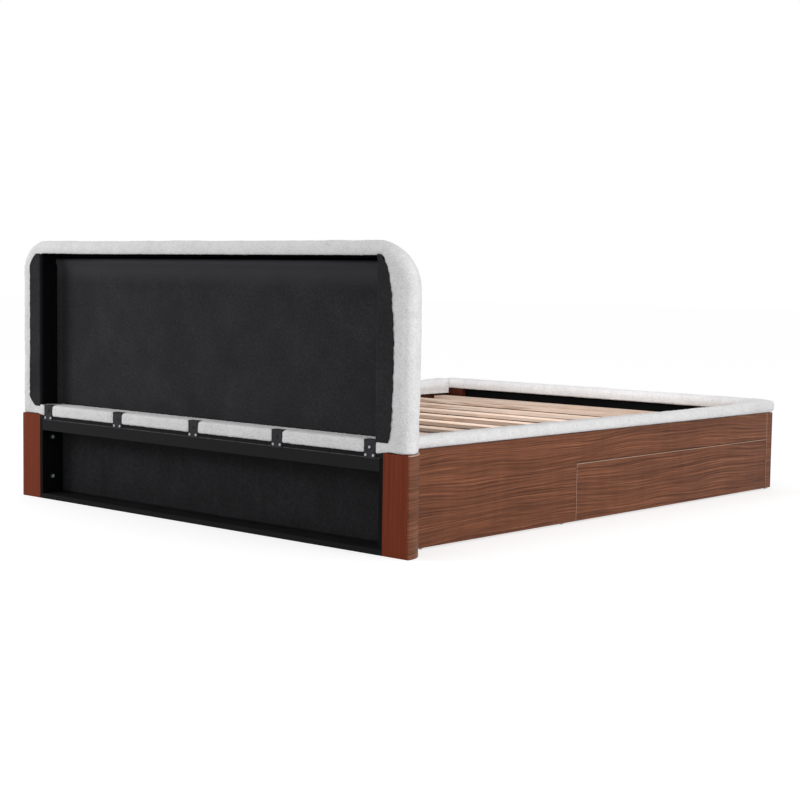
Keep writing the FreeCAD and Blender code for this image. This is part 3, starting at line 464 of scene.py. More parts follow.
# Painted shade: the corner blocks' stain is darkened for the shade under the pads.
RED_BROWN_SHADED = red_brown("red_brown_block", share=0.62)
BLACK_STEEL = metal("black_coated_steel", srgb(46, 44, 47), roughness=0.6, metallic=0.0,
                    relief=0.4, specular=0.12)
ZINC = metal("zinc_plated_steel", srgb(176, 178, 182), roughness=0.36, metallic=1.0,
             relief=0.2, specular=0.5)
DULL_ZINC = fastener("zinc_bolt_black_washer", srgb(168, 186, 188), srgb(16, 16, 18), washer)
WHITE_ZINC = fastener("white_zinc_screw", srgb(176, 180, 186), srgb(40, 39, 42), dark_high_screws)
NYLON = metal("white_nylon", srgb(232, 232, 230), roughness=0.5, metallic=0.0,
              relief=0.3, specular=0.3)
PLY = ply("bare_plywood", srgb(196, 162, 124))
DRAWER_BOARD = ply("pale_drawer_board", srgb(214, 194, 168))

TAN = srgb(186, 154, 135)
# Dark walnut for a painted shade band
PAINTED_SHADE_WALNUT = srgb(70, 42, 32)
# Tan seam and drawer edge lines: partly the edges' own paler colour, partly a painted highlight.
WALNUT_PANEL = veneer("walnut_panel", "Y", 0.0, [("Y", STILE_LINE, SEAM_HALF, TAN, 0.45)])
WALNUT_DRAWER = veneer("walnut_drawer", "Y", 4.3, [("Z", DRAWER_TOP - LINE_HALF, LINE_HALF, TAN, 0.9),
                                                   ("Y", DRAWER_HEAD - LINE_HALF, LINE_HALF, TAN, 0.75)])
# The foot stiles carry a painted shade band at their end, by the foot panel.
WALNUT_STILE = veneer("walnut_stile", "Y", 0.01, [("Y", STILE_LINE - 0.002, SEAM_HALF, TAN, 0.45),
                                                  ("Y", STILE_END, 0.0045, PAINTED_SHADE_WALNUT, 0.5)])
WALNUT_FOOT = veneer("walnut_foot", "X", 5.0)
# Painted highlight: a tan band round the post's top edge, for the top face lit from above.
WALNUT_POST = veneer("walnut_post", "R", 9.0, [("Z", BASE_HEIGHT - 0.001, 0.0026, TAN, 0.8)])


def finish_node(name, material):
    """Give a carried-over piece its material in every slot."""
    for item in nodes[name].material_slots:
        item.material = material


FINISHES = {
    BLACK_BOARD: ["headboard_stiles", "headboard_cross_rails", "base_front_board", "base_end_boards",
                  "foot_inner_board", "side_battens"],
    BLACK_TOP_SHADED: ["base_top_board", "base_bottom_board"],
    BLACK_RAIL: ["base_top_rail"],
    RED_BROWN: ["post_back_board_left", "post_back_board_right"],
    RED_BROWN_SHADED: ["foot_corner_blocks"],
    BLACK_STEEL: ["joining_brackets", "rail_brackets"],
    WHITE_ZINC: ["bracket_screws"],
    DULL_ZINC: ["post_bolts"],
    ZINC: ["rail_bolts", "slat_screws", "slide_outer_members", "slide_middle_left",
           "slide_middle_right", "slide_inner_left", "slide_inner_right"],
    NYLON: ["floor_glides"],
    PLY: ["headboard_front_panel", "post_inner_frames", "drawer_dividers", "slide_packers"],
    DRAWER_BOARD: ["drawer_walls_left", "drawer_walls_right", "drawer_floor_left", "drawer_floor_right"],
    WALNUT_PANEL: ["side_panel_left", "side_panel_right"],
    WALNUT_DRAWER: ["drawer_front_left", "drawer_front_right"],
    WALNUT_STILE: ["foot_stiles"],
    WALNUT_FOOT: ["foot_panel"],
    WALNUT_POST: ["post_shell_left", "post_shell_right"],
    pine("pine_along_bed", "Y", 20.0, -14): ["slat_ledges", "centre_beam"],
    pine("pine_upright", "Z", 30.0, -14): ["centre_legs"],
}
for material, names in FINISHES.items():
    for name in names:
        finish_node(name, material)
# How strongly each slat's low edge carries the painted gap shadow
SLAT_GAP_SHADOWS = (0.4, 0.2, 0.6, 0.5, 0.9, 0.3, 0.9, 0.6, 1.0, 0.0)
for number, shade in enumerate(SLAT_GAP_SHADOWS, start=1):
    wood = pine(f"pine_slat_{number:02d}", "X", number * 1.7, (number * 5) % 9 - 5, shade)
    finish_node(f"slat_{number:02d}", wood)


# Soft pieces

CLOTH_PRESSURE = 4.0
CLOTH_FRAMES = 14


def new_piece(name, points, faces, material):
    """A smooth mesh object in the bed's frame."""
    mesh = bpy.data.meshes.new(name)
    mesh.from_pydata([tuple(point) for point in points], [], faces)
    mesh.validate()
    mesh.update()
    mesh.shade_smooth()
    piece = bpy.data.objects.new(name, mesh)
    scene.collection.objects.link(piece)
    mesh.materials.append(material)
    return piece


def settle(piece):
    """Finish a piece: it rides on the frame."""
    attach(piece, "bed_frame")


def apply_modifiers(piece):
    """Freeze a piece's modifiers into its mesh."""
    graph = bpy.context.evaluated_depsgraph_get()
    made = bpy.data.meshes.new_from_object(piece.evaluated_get(graph))
    piece.modifiers.clear()
    old = piece.data
    piece.data = made
    bpy.data.meshes.remove(old)


def coordinates(mesh):
    """A mesh's points as an array."""
    points = np.empty(len(mesh.vertices) * 3)
    mesh.vertices.foreach_get("co", points)
    return points.reshape(-1, 3)


def normals(mesh):
    """A mesh's point normals as an array."""
    values = np.empty(len(mesh.vertices) * 3)
    mesh.vertex_normals.foreach_get("vector", values)
    return values.reshape(-1, 3)


def set_coordinates(mesh, points):
    """Move a mesh's points to the rows of an array."""
    mesh.vertices.foreach_set("co", points.reshape(-1))
    mesh.update()


def face_outwards(mesh, weld=False):
    """Turn a closed mesh's faces outwards, after welding points that coincide where asked."""
    made = bmesh.new()
    made.from_mesh(mesh)
    if weld:
        bmesh.ops.remove_doubles(made, verts=made.verts, dist=1e-5)
    bmesh.ops.recalc_face_normals(made, faces=made.faces)
    made.to_mesh(mesh)
    made.free()


def smoothstep(value, low, high):
    """0 up to low and 1 from high on, with a smooth rise between; low may be the greater."""
    share = np.clip((value - low) / (high - low), 0.0, 1.0)
    return share * share * (3 - 2 * share)


def spread(low, high, count):
    """Even steps from low to high, both included."""
    return [low + (high - low) * step / count for step in range(count + 1)]


def remesh(piece, voxel):
    """Even out a closed mesh to small quads."""
    modifier = piece.modifiers.new("even", "REMESH")
    modifier.mode = "VOXEL"
    modifier.voxel_size = voxel
    modifier.use_smooth_shade = True
    apply_modifiers(piece)


def relax(piece, rounds):
    """Soften the stair steps of an evened mesh."""
    modifier = piece.modifiers.new("relax", "SMOOTH")
    modifier.iterations = rounds
    modifier.factor = 0.5
    apply_modifiers(piece)


def puff(piece, cap, weight):
    """Blow a closed mesh up as cloth, and keep the swelling within a cap and the weight of each point."""
    rest = coordinates(piece.data)
    cloth = piece.modifiers.new("cloth", "CLOTH")
    cloth.settings.use_pressure = True
    cloth.settings.uniform_pressure_force = CLOTH_PRESSURE
    cloth.settings.effector_weights.gravity = 0.0
    cloth.settings.quality = 3
    cloth.collision_settings.use_collision = False
    cloth.point_cache.frame_start = 1
    cloth.point_cache.frame_end = CLOTH_FRAMES
    for number in range(1, CLOTH_FRAMES + 1):
        scene.frame_set(number)
    graph = bpy.context.evaluated_depsgraph_get()
    blown = coordinates(piece.evaluated_get(graph).data)
    piece.modifiers.clear()
    scene.frame_set(1)
    move = blown - rest
    length = np.linalg.norm(move, axis=1)
    limited = cap * np.tanh(length / cap)
    move *= (limited / np.maximum(length, 1e-9))[:, None]
    set_coordinates(piece.data, rest + move * weight(rest)[:, None])


def knobble(piece, amount, scale, seed, weight=None):
    """Push points along their normals by smooth noise, for the unevenness of cloth over foam."""
    points = coordinates(piece.data)
    facing = normals(piece.data)
    height = np.array([noise.noise(Vector((x * scale + seed, y * scale, z * scale))) for x, y, z in points])
    if weight is not None:
        height *= weight(points)
    set_coordinates(piece.data, points + facing * (height * amount)[:, None])


def subdivide(piece):
    """Split each face in four, smoothly."""
    modifier = piece.modifiers.new("fine", "SUBSURF")
    modifier.levels = 1
    modifier.render_levels = 1
    apply_modifiers(piece)


# Headboard cover

# The cover's outline, with a tighter far corner, and the roll of its edge towards the front
SHOWN_HALF = 0.9195
SHOWN_TOP = 0.9005
NEAR_CORNER = 0.150
FAR_CORNER = 0.112
ROLL_WIDTH = 0.112
ROLL_DEPTH = 0.104
ROLL_POWER = 1.25
ROLL_TOP_SHARE = 0.70
ROLL_CORNER_SHARE = 0.85
# The rim's section from its flat inner part to its side: inset from the outer edge, depth
RIM_PROFILE = [(0.062, 0.0), (0.05, -0.0016), (0.04, -0.0037), (0.031, -0.0052), (0.023, -0.0052),
               (0.0155, -0.0034), (0.0092, 0.0008), (0.0045, 0.0068), (0.0014, 0.0145), (0.0, 0.0235)]
# The opening at the back of the cover
OPENING_HALF = 0.812
OPENING_BOTTOM = 0.329
# The lower ledge's rear face: middle height, half height, and how far to each side a bracket presses
LEDGE_MIDDLE = 0.313
LEDGE_HALF = 0.026
BRACKET_REACH = 0.028


def quarter_turn(count):
    """Angles in even steps from zero to a quarter turn."""
    return [math.pi / 2 * index / count for index in range(count + 1)]


def cover_outline(inset, rolled=False):
    """Front view of the cover, inset from its edge: up the left side, over the top, down the right."""
    half = SHOWN_HALF - inset
    top = SHOWN_TOP - inset * (ROLL_TOP_SHARE if rolled else 1.0)
    shrink = inset * (ROLL_CORNER_SHARE if rolled else 1.0)
    near = NEAR_CORNER - shrink
    far = FAR_CORNER - shrink
    points = [(-half, COVER_BOTTOM)]
    for angle in quarter_turn(14):
        points.append((-half + near * (1 - math.cos(angle)), top - near * (1 - math.sin(angle))))
    for angle in quarter_turn(14):
        points.append((half - far * (1 - math.sin(angle)), top - far * (1 - math.cos(angle))))
    points.append((half, COVER_BOTTOM))
    return points


def closed_block(name, outlines):
    """A closed mesh through equal outlines, each a list of (x, z) points at a depth."""
    points, faces = [], []
    size = len(outlines[0][0])
    for outline, depth in outlines:
        points += [(x, BACK - depth, z) for x, z in outline]
    for layer in range(len(outlines) - 1):
        for index in range(size):
            following = (index + 1) % size
            a, b = layer * size + index, layer * size + following
            faces.append((a, b, b + size, a + size))
    faces.append(tuple(reversed(range(size))))
    last = (len(outlines) - 1) * size
    faces.append(tuple(range(last, last + size)))
    block = new_piece(name, points, faces, BOUCLE)
    face_outwards(block.data)
    return block


def cut_box(piece, half, low, high, near, far):
    """Cut a box out of a closed mesh: half width, heights, and depths from the back plane."""
    outline = [(-half, low), (-half, high), (half, high), (half, low)]
    tool = closed_block("cutting_tool", [(outline, near), (outline, far)])
    modifier = piece.modifiers.new("cut", "BOOLEAN")
    modifier.operation = "DIFFERENCE"
    modifier.solver = "EXACT"
    modifier.object = tool
    apply_modifiers(piece)
    bpy.data.objects.remove(tool)


def cover_weight(points):
    """Full swelling outside, fading to none at the bottom, round the opening and inside it."""
    x, y, z = points.T
    side = np.abs(x)
    weight = smoothstep(z, COVER_BOTTOM + 0.002, COVER_BOTTOM + 0.03)
    beyond = np.maximum(side - OPENING_HALF - 0.04, z - RECESS_TOP)
    behind = smoothstep(y, BACK - 0.03, BACK - 0.012)
    weight *= 1 - behind * (1 - 0.6 * smoothstep(beyond, 0.0, 0.03))
    inside = (side < OPENING_HALF + 0.006) & (z < RECESS_TOP + 0.008) & (y > BACK - RECESS_DEPTH - 0.01)
    return np.where(inside, 0.0, weight)


def plump_ledge(cover):
    """Cloth swells between the brackets on the lower member and is pressed in under them."""
    swell, press, sag, crown = 0.0056, 0.0012, 0.0052, 0.003
    points = coordinates(cover.data)
    x, y, z = points.T
    side = np.abs(x)
    free = np.ones(len(x))
    for place in BRACKETS:
        free *= 1 - np.exp(-((x - place) / BRACKET_REACH) ** 6)
    pressed = 1 - free
    within = 1 - smoothstep(side, 0.79, 0.84)
    rear = smoothstep(y, BACK - 0.014, BACK - 0.003)
    rise = np.clip((z - LEDGE_MIDDLE) / LEDGE_HALF, -1.0, 1.0)
    low = smoothstep(z, 0.345, 0.333)
    bulge = low * rear * np.sqrt(1 - rise ** 2 * 0.9) * within
    points[:, 1] += bulge * (swell * free - press * pressed)
    foot = smoothstep(z, 0.312, 0.297) * rear
    points[:, 2] -= foot * sag * within
    top = smoothstep(np.abs(z - OPENING_BOTTOM), 0.009, 0.004) * (side < OPENING_HALF - 0.004)
    towards_back = smoothstep(y, BACK - 0.07, BACK - 0.02)
    at_back = smoothstep(y, BACK - 0.03, BACK - 0.02)
    points[:, 2] += top * (crown * free * towards_back - press * pressed * at_back)
    set_coordinates(cover.data, points)


def gather_corners(cover):
    """Small folds that fan out over the rim at both top corners."""
    fold_height, folds_per_radian = 0.0009, 31.0
    points = coordinates(cover.data)
    x, y, z = points.T
    radius = np.where(x < 0, NEAR_CORNER, FAR_CORNER)
    over = np.abs(x) - (SHOWN_HALF - radius)
    above = z - (SHOWN_TOP - radius)
    angle = np.arctan2(above, over)
    reach = np.hypot(over, above)
    inside = smoothstep(angle, -0.25, 0.15) * smoothstep(angle, math.pi / 2 + 0.2, math.pi / 2 - 0.2)
    band = smoothstep(reach, radius - 0.05, radius - 0.02) * smoothstep(BACK - y, 0.085, 0.045)
    drift = np.array([noise.noise(Vector((a * 2.3, b * 11.0, 7.0))) for a, b in zip(angle, y)])
    fold = np.sin(angle * folds_per_radian + 5.0 * drift) * np.clip(0.6 + drift * 1.6, 0.0, 1.0)
    push = fold_height * fold * inside * band
    set_coordinates(cover.data, points + normals(cover.data) * push[:, None])


def fill_far_end(cover):
    """The stuffing is a little fuller at the far end, outwards and up."""
    outwards, upwards = 0.0035, 0.0025
    points = coordinates(cover.data)
    x, y, z = points.T
    points[:, 0] += outwards * smoothstep(x, 0.75, 0.92)
    points[:, 2] += upwards * smoothstep(x, 0.5, 0.8) * smoothstep(z, 0.75, 0.9)
    set_coordinates(cover.data, points)


def make_cover():
    """The bouclé cover: a rounded block with its back recess cut out, blown up a little as cloth."""
    outlines = [(cover_outline(inset), depth) for inset, depth in RIM_PROFILE]
    for angle in quarter_turn(12)[1:]:
        outlines.append((cover_outline(ROLL_WIDTH * (1 - math.cos(angle) ** ROLL_POWER), rolled=True),
                         COVER_DEPTH - ROLL_DEPTH * (1 - math.sin(angle) ** ROLL_POWER)))
    cover = closed_block("headboard_cover_boucle", outlines)
    cut_box(cover, OPENING_HALF, OPENING_BOTTOM, RECESS_TOP - 0.004, near=-0.02, far=0.04)
    cut_box(cover, OPENING_HALF, OPENING_BOTTOM, RECESS_TOP + 0.005, near=0.008, far=RECESS_DEPTH + 0.006)
    remesh(cover, voxel=0.006)
    relax(cover, rounds=3)
    puff(cover, cap=0.0035, weight=cover_weight)
    knobble(cover, amount=0.0024, scale=13.0, seed=1.0, weight=cover_weight)
    subdivide(cover)
    plump_ledge(cover)
    gather_corners(cover)
    knobble(cover, amount=0.0009, scale=85.0, seed=4.0)
    fill_far_end(cover)
    settle(cover)
    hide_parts("headboard_cover")


# Padded rim

# The mitre of a foot corner in plan, as distances from the middle and from the back plane
MITRE_INNER = np.array([PAD_INNER, FOOT_PAD_BACK])
MITRE_OUTER = np.array([PAD_OUTER, BED_LENGTH + PAD_PROUD])
MITRE_ALONG = (MITRE_OUTER - MITRE_INNER) / np.linalg.norm(MITRE_OUTER - MITRE_INNER)
# Where a foot corner of the rim begins to round, in the same way
ROUND_SIDE = 0.798
ROUND_LENGTH = 2.187


def mitre_offset(points):
    """Distance in plan from the mitre line of a foot corner, under zero on one side."""
    x, y, z = points.T
    past = BACK - y - MITRE_INNER[1]
    over = np.abs(x) - MITRE_INNER[0]
    return past * MITRE_ALONG[0] - over * MITRE_ALONG[1]


def mitre_distance(points):
    """Distance in plan from the mitre line of a foot corner, either side."""
    return np.abs(mitre_offset(points))


def pad_weight(points, seam_height):
    """Full swelling on the pad, none at its seam along the wood and at the mitre."""
    weight = smoothstep(points[:, 2], BASE_HEIGHT + 0.001, BASE_HEIGHT + seam_height)
    return weight * smoothstep(mitre_distance(points), 0.001, 0.016)


def side_weight(points):
    """The swelling of a side pad, which also ends at the headboard."""
    headboard = smoothstep(BACK - points[:, 1], COVER_DEPTH + 0.001, COVER_DEPTH + 0.02)
    return pad_weight(points, 0.012) * headboard


def foot_weight(points):
    """The swelling of the foot pad."""
    return pad_weight(points, 0.014)


def fill_corner(piece):
    """Stuffing pushes the pad's foot corners out past the wood."""
    fullness = 0.01
    points = coordinates(piece.data)
    x, y, z = points.T
    over = np.abs(x) - ROUND_SIDE
    past = (BACK - y) - ROUND_LENGTH
    reach = np.hypot(np.maximum(over, 0.0), np.maximum(past, 0.0))
    length = np.maximum(reach, 1e-6)
    share = np.where((over > 0) & (past > 0), 2 * over * past / length ** 2, 0.0)
    push = fullness * share ** 1.2 * smoothstep(reach, 0.012, 0.034)
    push *= smoothstep(z, BASE_HEIGHT - 0.002, BASE_HEIGHT + 0.014)
    points[:, 0] += np.sign(x) * push * over / length
    points[:, 1] -= push * past / length
    set_coordinates(piece.data, points)


def tuck_end(piece):
    """A side pad's foot end dips towards the corner, under the foot pad's rounded end."""
    dip = 0.008
    points = coordinates(piece.data)
    x, y, z = points.T
    outward = smoothstep(np.abs(x), PAD_INNER + 0.004, PAD_OUTER - 0.004)
    share = smoothstep(mitre_distance(points), 0.06, 0.0) ** 1.3 * outward
    points[:, 2] -= dip * share * smoothstep(z, BASE_HEIGHT + 0.006, BASE_HEIGHT + 0.046)
    set_coordinates(piece.data, points)


def sew_mitre(piece):
    """Stitching pulls the cloth in along the mitre, most at the near corner; the inner corner is filled."""
    near_pull, far_pull, fullness = 0.0045, 0.0008, 0.003
    points = coordinates(piece.data)
    x, y, z = points.T
    away = mitre_distance(points)
    facing = normals(piece.data)
    towards = np.abs(np.sign(x) * facing[:, 0] * MITRE_ALONG[1] + facing[:, 1] * MITRE_ALONG[0])
    deep = np.where(x < 0, near_pull, far_pull) * (1.0 - np.minimum(towards, 1.0) ** 2)
    pull = deep * np.exp(-(away / 0.0062) ** 2) * smoothstep(z, 0.3, 0.315)
    moved = points - facing * pull[:, None]
    reach = (np.abs(x) - PAD_INNER + BACK - y - FOOT_PAD_BACK) * math.sqrt(0.5)
    fill = fullness * np.exp(-(away / 0.007) ** 2) * smoothstep(reach, 0.022, 0.004)
    moved[:, 0] -= np.sign(x) * fill * math.sqrt(0.5)
    moved[:, 1] += fill * math.sqrt(0.5)
    set_coordinates(piece.data, moved)


def close_mitre(piece):
    """The ends of two pads press flat against each other at the mitre."""
    press, clearance = 0.0045, 0.0003
    points = coordinates(piece.data)
    x, y, z = points.T
    offset = mitre_offset(points)
    away = np.abs(offset)
    gap = float(away.min())
    shift = (gap + press) * smoothstep(away, 0.035, gap + 0.003)
    step = (np.maximum(away - shift, clearance) - away) * np.sign(offset)
    points[:, 0] -= np.sign(x) * step * MITRE_ALONG[1]
    points[:, 1] -= step * MITRE_ALONG[0]
    set_coordinates(piece.data, points)


def make_pad(node, weight, seed):
    """A padded rim piece from its solid: evened, blown up, sewn and closed at its mitres."""
    source = nodes[node].data
    piece = new_piece(f"{node}_boucle", [vertex.co for vertex in source.vertices],
                      [polygon.vertices[:] for polygon in source.polygons], BOUCLE)
    face_outwards(piece.data, weld=True)
    remesh(piece, voxel=0.005)
    relax(piece, rounds=4)
    fill_corner(piece)
    if node != "foot_pad":
        tuck_end(piece)
    puff(piece, cap=0.003, weight=weight)
    knobble(piece, amount=0.0016, scale=14.0, seed=seed, weight=weight)
    subdivide(piece)
    sew_mitre(piece)
    knobble(piece, amount=0.0008, scale=90.0, seed=seed + 3.0)
    close_mitre(piece)
    settle(piece)
    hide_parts(node)


# Cloth linings

LINING_REACH = RECESS_HALF - 0.0012
LINING_DEPTH = RECESS_DEPTH - 0.0016
LINING_LOW = RECESS_BOTTOM + 0.0008
LINING_HIGH = RECESS_TOP - 0.001
LINING_TOP = LINING_HIGH - 0.0145
BASE_LINING_REACH = 0.8034
BASE_LINING_DEPTH = 0.0845
BASE_LINING_LOW = 0.0176
BASE_LINING_HIGH = 0.2794
STRIP_BOTTOM = 0.325
NEAR_STRIP_TOP = 0.8585
FAR_STRIP_TOP = 0.857
NEAR_STRIP_INNER = 0.789
FAR_STRIP_INNER = 0.8135
FAR_STRIP_OUTER = 0.8715
# Outer edge of the near strip from its bottom up: height, distance from the middle
NEAR_STRIP = [(0.325, 0.838), (0.334, 0.8404), (0.342, 0.8428), (0.37, 0.849), (0.41, 0.8505),
              (0.45, 0.8518), (0.5, 0.8535), (0.57, 0.8548), (0.62, 0.8542), (0.66, 0.852),
              (0.7, 0.8482), (0.74, 0.8442), (0.77, 0.8405), (0.795, 0.8345), (0.817, 0.8278),
              (0.83, 0.8238), (0.84, 0.8179), (0.851, 0.8102), (0.8585, 0.804)]


def grid_piece(name, rows, material):
    """A sheet through rows of points, given a little thickness."""
    height, width = len(rows), len(rows[0])
    points = [point for row in rows for point in row]
    faces = [(r * width + c, r * width + c + 1, (r + 1) * width + c + 1, (r + 1) * width + c)
             for r in range(height - 1) for c in range(width - 1)]
    piece = new_piece(name, points, faces, material)
    modifier = piece.modifiers.new("cloth", "SOLIDIFY")
    modifier.thickness = 0.0008
    modifier.offset = 0.0
    apply_modifiers(piece)
    piece.data.shade_smooth()
    settle(piece)
    return piece


def ripple(x, z, seed, amount):
    """A shallow wave of slack cloth."""
    return amount * (noise.noise(Vector((x * 3.1 + seed, z * 3.7, seed))) +
                     0.5 * noise.noise(Vector((x * 9.0, z * 8.0 + seed, 2.0))))


def line_recess_back():
    """Black cloth over the recess's floor: slack, turned up at its sides and rolled along its top."""
    turn_up, roll_depth, lean_depth = 0.013, 0.007, 0.02
    least_slack, wave = 0.001, 0.0034
    rows = []
    for step, z in enumerate(spread(LINING_LOW, LINING_TOP, 80)):
        hem = min(1.0, step / 5)
        roll = roll_depth * math.exp(-((LINING_TOP - 0.011 - z) / 0.01) ** 2)
        lean = lean_depth * float(smoothstep(z, 0.79, LINING_TOP))
        row = []
        for x in spread(-LINING_REACH, LINING_REACH, 180):
            edge = LINING_REACH - abs(x)
            corner = turn_up - math.sqrt(max(0.0, turn_up ** 2 - max(0.0, turn_up - edge) ** 2))
            slack = (least_slack + abs(ripple(x, z, 3.0, wave))) * hem * min(1.0, edge / 0.06) + roll
            slack += lean * min(1.0, edge / 0.3)
            row.append((x, BACK - LINING_DEPTH + slack + corner, z))
        rows.append(row)
    lining = grid_piece("headboard_back_lining", rows, NONWOVEN_LIT_TOP)
    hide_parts("headboard_back_liner")


def line_recess_top():
    """Cloth under the recess's top, which hangs down over the back lining's upper edge; its near-black
    colour and the band that hangs down are painted shade under the rim.
    """
    overlap, clearance, droop = 0.004, 0.0005, 0.0012
    length = LINING_DEPTH + LINING_HIGH - LINING_TOP + overlap
    rows = []
    for travel in spread(0.0, length, 14):
        depth = min(LINING_DEPTH, travel)
        drop = max(0.0, travel - LINING_DEPTH)
        y = BACK - depth + clearance * (drop > 0)
        height = LINING_HIGH - clearance - drop
        rows.append([(x, y, height - abs(ripple(column / 10, depth * 3, 7.0, droop)))
                     for column, x in enumerate(spread(-LINING_REACH, LINING_REACH, 120))])
    top = grid_piece("headboard_top_lining", rows, NONWOVEN_SHADE)


def line_recess_side(side, sign):
    """Cloth on the inner face of a stile, wrapped round its back edge; its near-black colour is painted
    shade in the recess.
    """
    wrap, lift, shortfall, fold_depth = 0.015, 0.0009, 0.01, 0.0012
    width = wrap + LINING_DEPTH - shortfall
    rows = []
    for z in spread(LINING_LOW, LINING_HIGH, 60):
        row = []
        for travel in spread(0.0, width, 30):
            if travel < wrap:
                row.append((sign * (LINING_REACH + wrap - travel), BACK + lift, z))
                continue
            depth = travel - wrap
            edge = min(1.0, depth / 0.008)
            fold = fold_depth * abs(math.sin(depth * 150 + 0.3 * math.sin(z * 9))) * edge
            row.append((sign * (LINING_REACH + 0.0004 - fold), BACK + lift - depth, z))
        rows.append(row)
    wall = grid_piece(f"headboard_side_lining_{side}", rows, NONWOVEN_SHADE)


def strip_edge(side, z):
    """Outer edge of a side strip at a height: the near one bows, the far one is mostly straight."""
    if side == "left":
        heights, edges = zip(*NEAR_STRIP)
        return float(np.interp(z, heights, edges))
    share = (z - STRIP_BOTTOM) / (FAR_STRIP_TOP - STRIP_BOTTOM)
    flare = 0.003 * max(0.0, 1 - share / 0.3)
    lean = 0.04 * max(0.0, (z - 0.8) / 0.0585) ** 2.2
    tuck = 0.03 * max(0.0, 1 - share / 0.08) ** 2
    return FAR_STRIP_OUTER + flare - lean - tuck


def rim_height(x, z):
    """How far the rim's cloth stands behind the back plane at a place on the back face."""
    radius = NEAR_CORNER if x < 0 else FAR_CORNER
    over, above = abs(x) - (SHOWN_HALF - radius), z - (SHOWN_TOP - radius)
    if over > 0 and above > 0:
        inset = radius - math.hypot(over, above)
    else:
        inset = min(SHOWN_HALF - abs(x), SHOWN_TOP - z)
    insets, depths = zip(*reversed(RIM_PROFILE))
    return -float(np.interp(inset, insets, depths))


def make_strip(side, sign, inner, top, wave):
    """Black cloth over the back of a stile, its cut edge tacked to the bouclé."""
    rows = []
    for z in spread(STRIP_BOTTOM, top, 130):
        waver = 0.0011 * math.sin(z * 95) + 0.0008 * math.sin(z * 231 + sign)
        edge = strip_edge(side, z) + wave * waver
        width = edge - inner
        row = []
        for column in range(21):
            share = column / 20
            x = inner + width * share
            hem = 0.0016 * math.exp(-((share - 0.12) / 0.09) ** 2)
            lift = 0.0014 + hem + 0.001 * math.sin(math.pi * share)
            lift += rim_height(sign * x, z) + abs(ripple(x, z * 2, 5.0 + sign, 0.0012))
            if column == 0:
                lift = 0.0002
            row.append((sign * x, BACK + lift, z))
        rows.append(row)
    strip = grid_piece(f"headboard_side_strip_{side}", rows, NONWOVEN)
    return strip


def line_base():
    """The black cloth at the back of the base's hollow."""
    last, wave = 30, 0.0022
    rows = []
    for step, z in enumerate(spread(BASE_LINING_LOW, BASE_LINING_HIGH, last)):
        hem = min(1.0, min(step, last - step) / 4)
        rows.append([(x, BACK - BASE_LINING_DEPTH + ripple(column / 9, z * 1.5, 11.0, wave) * hem, z)
                     for column, x in enumerate(spread(-BASE_LINING_REACH, BASE_LINING_REACH, 180))])
    lining = grid_piece("base_back_lining", rows, NONWOVEN_BASE)
    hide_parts("base_back_liner")


make_cover()
make_pad("side_pad_left", side_weight, seed=2.0)
make_pad("side_pad_right", side_weight, seed=6.0)
make_pad("foot_pad", foot_weight, seed=9.0)
line_recess_back()
line_recess_top()
line_recess_side("left", -1)
line_recess_side("right", 1)
near_strip = make_strip("left", -1, NEAR_STRIP_INNER, NEAR_STRIP_TOP, wave=1.0)
make_strip("right", 1, FAR_STRIP_INNER, FAR_STRIP_TOP, wave=0.45)
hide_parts("headboard_side_strips")
line_base()


# Camera, as fitted to the photograph: width, focal length and centre in pixels, then axes and place

PICTURE = 800
FOCAL = 1604.4
CENTRE_X = 416.9
CENTRE_Y = 403.8
SENSOR = 36.0
RIGHT = Vector((-0.74976, -0.66154, 0.01571))
UP = Vector((0.06352, -0.04832, 0.99682))
AHEAD = Vector((0.65866, -0.74836, -0.07825))
EYE = (-3.8829, BACK + 3.3396, 0.7932)


def make_camera():
    """The camera that matches the photograph."""
    data = bpy.data.cameras.new("camera")
    camera = bpy.data.objects.new("camera", data)
    scene.collection.objects.link(camera)
    turn = Matrix((RIGHT, UP, -AHEAD)).transposed().to_4x4()
    camera.matrix_world = Matrix.Translation(EYE) @ turn
    data.sensor_width = SENSOR
    data.lens = SENSOR * FOCAL / PICTURE
    data.shift_x = (PICTURE / 2 - CENTRE_X) / PICTURE
    data.shift_y = (CENTRE_Y - PICTURE / 2) / PICTURE
    data.clip_end = 200.0
    scene.camera = camera


# Floor, sky and lamps

SKY_LIGHT = 0.65
SKY_SEEN = 1.0
FLOOR_REACH = 40.0
FLOOR_TONE = 0.6
FLOOR_GLOW = 0.6


def seen_directly(tree):
    """1 for camera, mirror and glass rays, 0 for the light that falls on things."""
    rays = tree.nodes.new("ShaderNodeLightPath").outputs
    mask = rays["Is Camera Ray"]
    for kind in ("Is Glossy Ray", "Is Transmission Ray"):
        either = tree.nodes.new("ShaderNodeMath")
        either.operation = "MAXIMUM"
        tree.links.new(mask, either.inputs[0])
        tree.links.new(rays[kind], either.inputs[1])
        mask = either.outputs[0]
    return mask


def make_world():
    """A white sky that lights things less than it shows."""
    world = bpy.data.worlds.new("studio")
    world.use_nodes = True
    scene.world = world
    tree = world.node_tree
    tree.nodes.clear()
    output = tree.nodes.new("ShaderNodeOutputWorld")
    mix = tree.nodes.new("ShaderNodeMixShader")
    tree.links.new(seen_directly(tree), mix.inputs[0])
    for slot, strength in ((1, SKY_LIGHT), (2, SKY_SEEN)):
        sky = tree.nodes.new("ShaderNodeBackground")
        sky.inputs["Color"].default_value = (1.0, 1.0, 1.0, 1.0)
        sky.inputs["Strength"].default_value = strength
        tree.links.new(sky.outputs[0], mix.inputs[slot])
    tree.links.new(mix.outputs[0], output.inputs["Surface"])


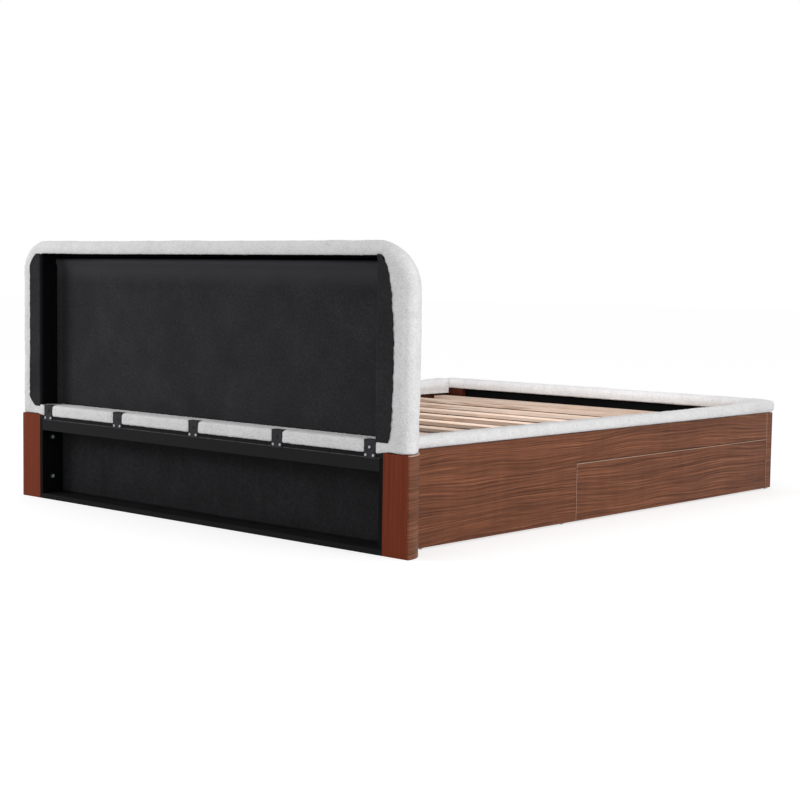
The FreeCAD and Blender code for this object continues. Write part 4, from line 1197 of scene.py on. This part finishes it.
def make_floor():
    """A pale floor that glows where it is seen directly, so that it fades into the sky."""
    mesh = bpy.data.meshes.new("floor")
    corners = [(-FLOOR_REACH, -FLOOR_REACH, 0), (FLOOR_REACH, -FLOOR_REACH, 0),
               (FLOOR_REACH, FLOOR_REACH, 0), (-FLOOR_REACH, FLOOR_REACH, 0)]
    mesh.from_pydata(corners, [], [(0, 1, 2, 3)])
    floor = bpy.data.objects.new("floor", mesh)
    scene.collection.objects.link(floor)
    material = bpy.data.materials.new("pale_floor")
    material.use_nodes = True
    tree = material.node_tree
    tree.nodes.clear()
    output = tree.nodes.new("ShaderNodeOutputMaterial")
    diffuse = tree.nodes.new("ShaderNodeBsdfDiffuse")
    diffuse.inputs["Color"].default_value = (FLOOR_TONE, FLOOR_TONE, FLOOR_TONE, 1)
    glow = tree.nodes.new("ShaderNodeEmission")
    strength = tree.nodes.new("ShaderNodeMath")
    strength.operation = "MULTIPLY"
    tree.links.new(seen_directly(tree), strength.inputs[0])
    strength.inputs[1].default_value = FLOOR_GLOW
    tree.links.new(strength.outputs[0], glow.inputs["Strength"])
    add = tree.nodes.new("ShaderNodeAddShader")
    tree.links.new(diffuse.outputs[0], add.inputs[0])
    tree.links.new(glow.outputs[0], add.inputs[1])
    tree.links.new(add.outputs[0], output.inputs["Surface"])
    mesh.materials.append(material)


def make_lamp(name, place, target, width, height, power):
    """A soft box that faces its target."""
    lamp = bpy.data.lights.new(name, "AREA")
    lamp.shape = "RECTANGLE"
    lamp.size = width
    lamp.size_y = height
    lamp.energy = power
    item = bpy.data.objects.new(name, lamp)
    scene.collection.objects.link(item)
    item.location = place
    item.visible_camera = False
    item.rotation_euler = (Vector(target) - Vector(place)).to_track_quat("-Z", "Y").to_euler()


make_camera()
make_world()
make_floor()
make_lamp("far_side", place=(2.9, 3.6, 1.95), target=(0.1, BACK, 0.6),
          width=1.5, height=1.1, power=54.0)
make_lamp("near_side", place=(-5.3, 0.8, 1.1), target=(-0.8, 0.2, 0.4),
          width=3.0, height=1.8, power=107.0)
make_lamp("over_slats", place=(-0.45, -0.1, 0.95), target=(0.9, -0.75, 0.37),
          width=0.6, height=0.4, power=7.5)
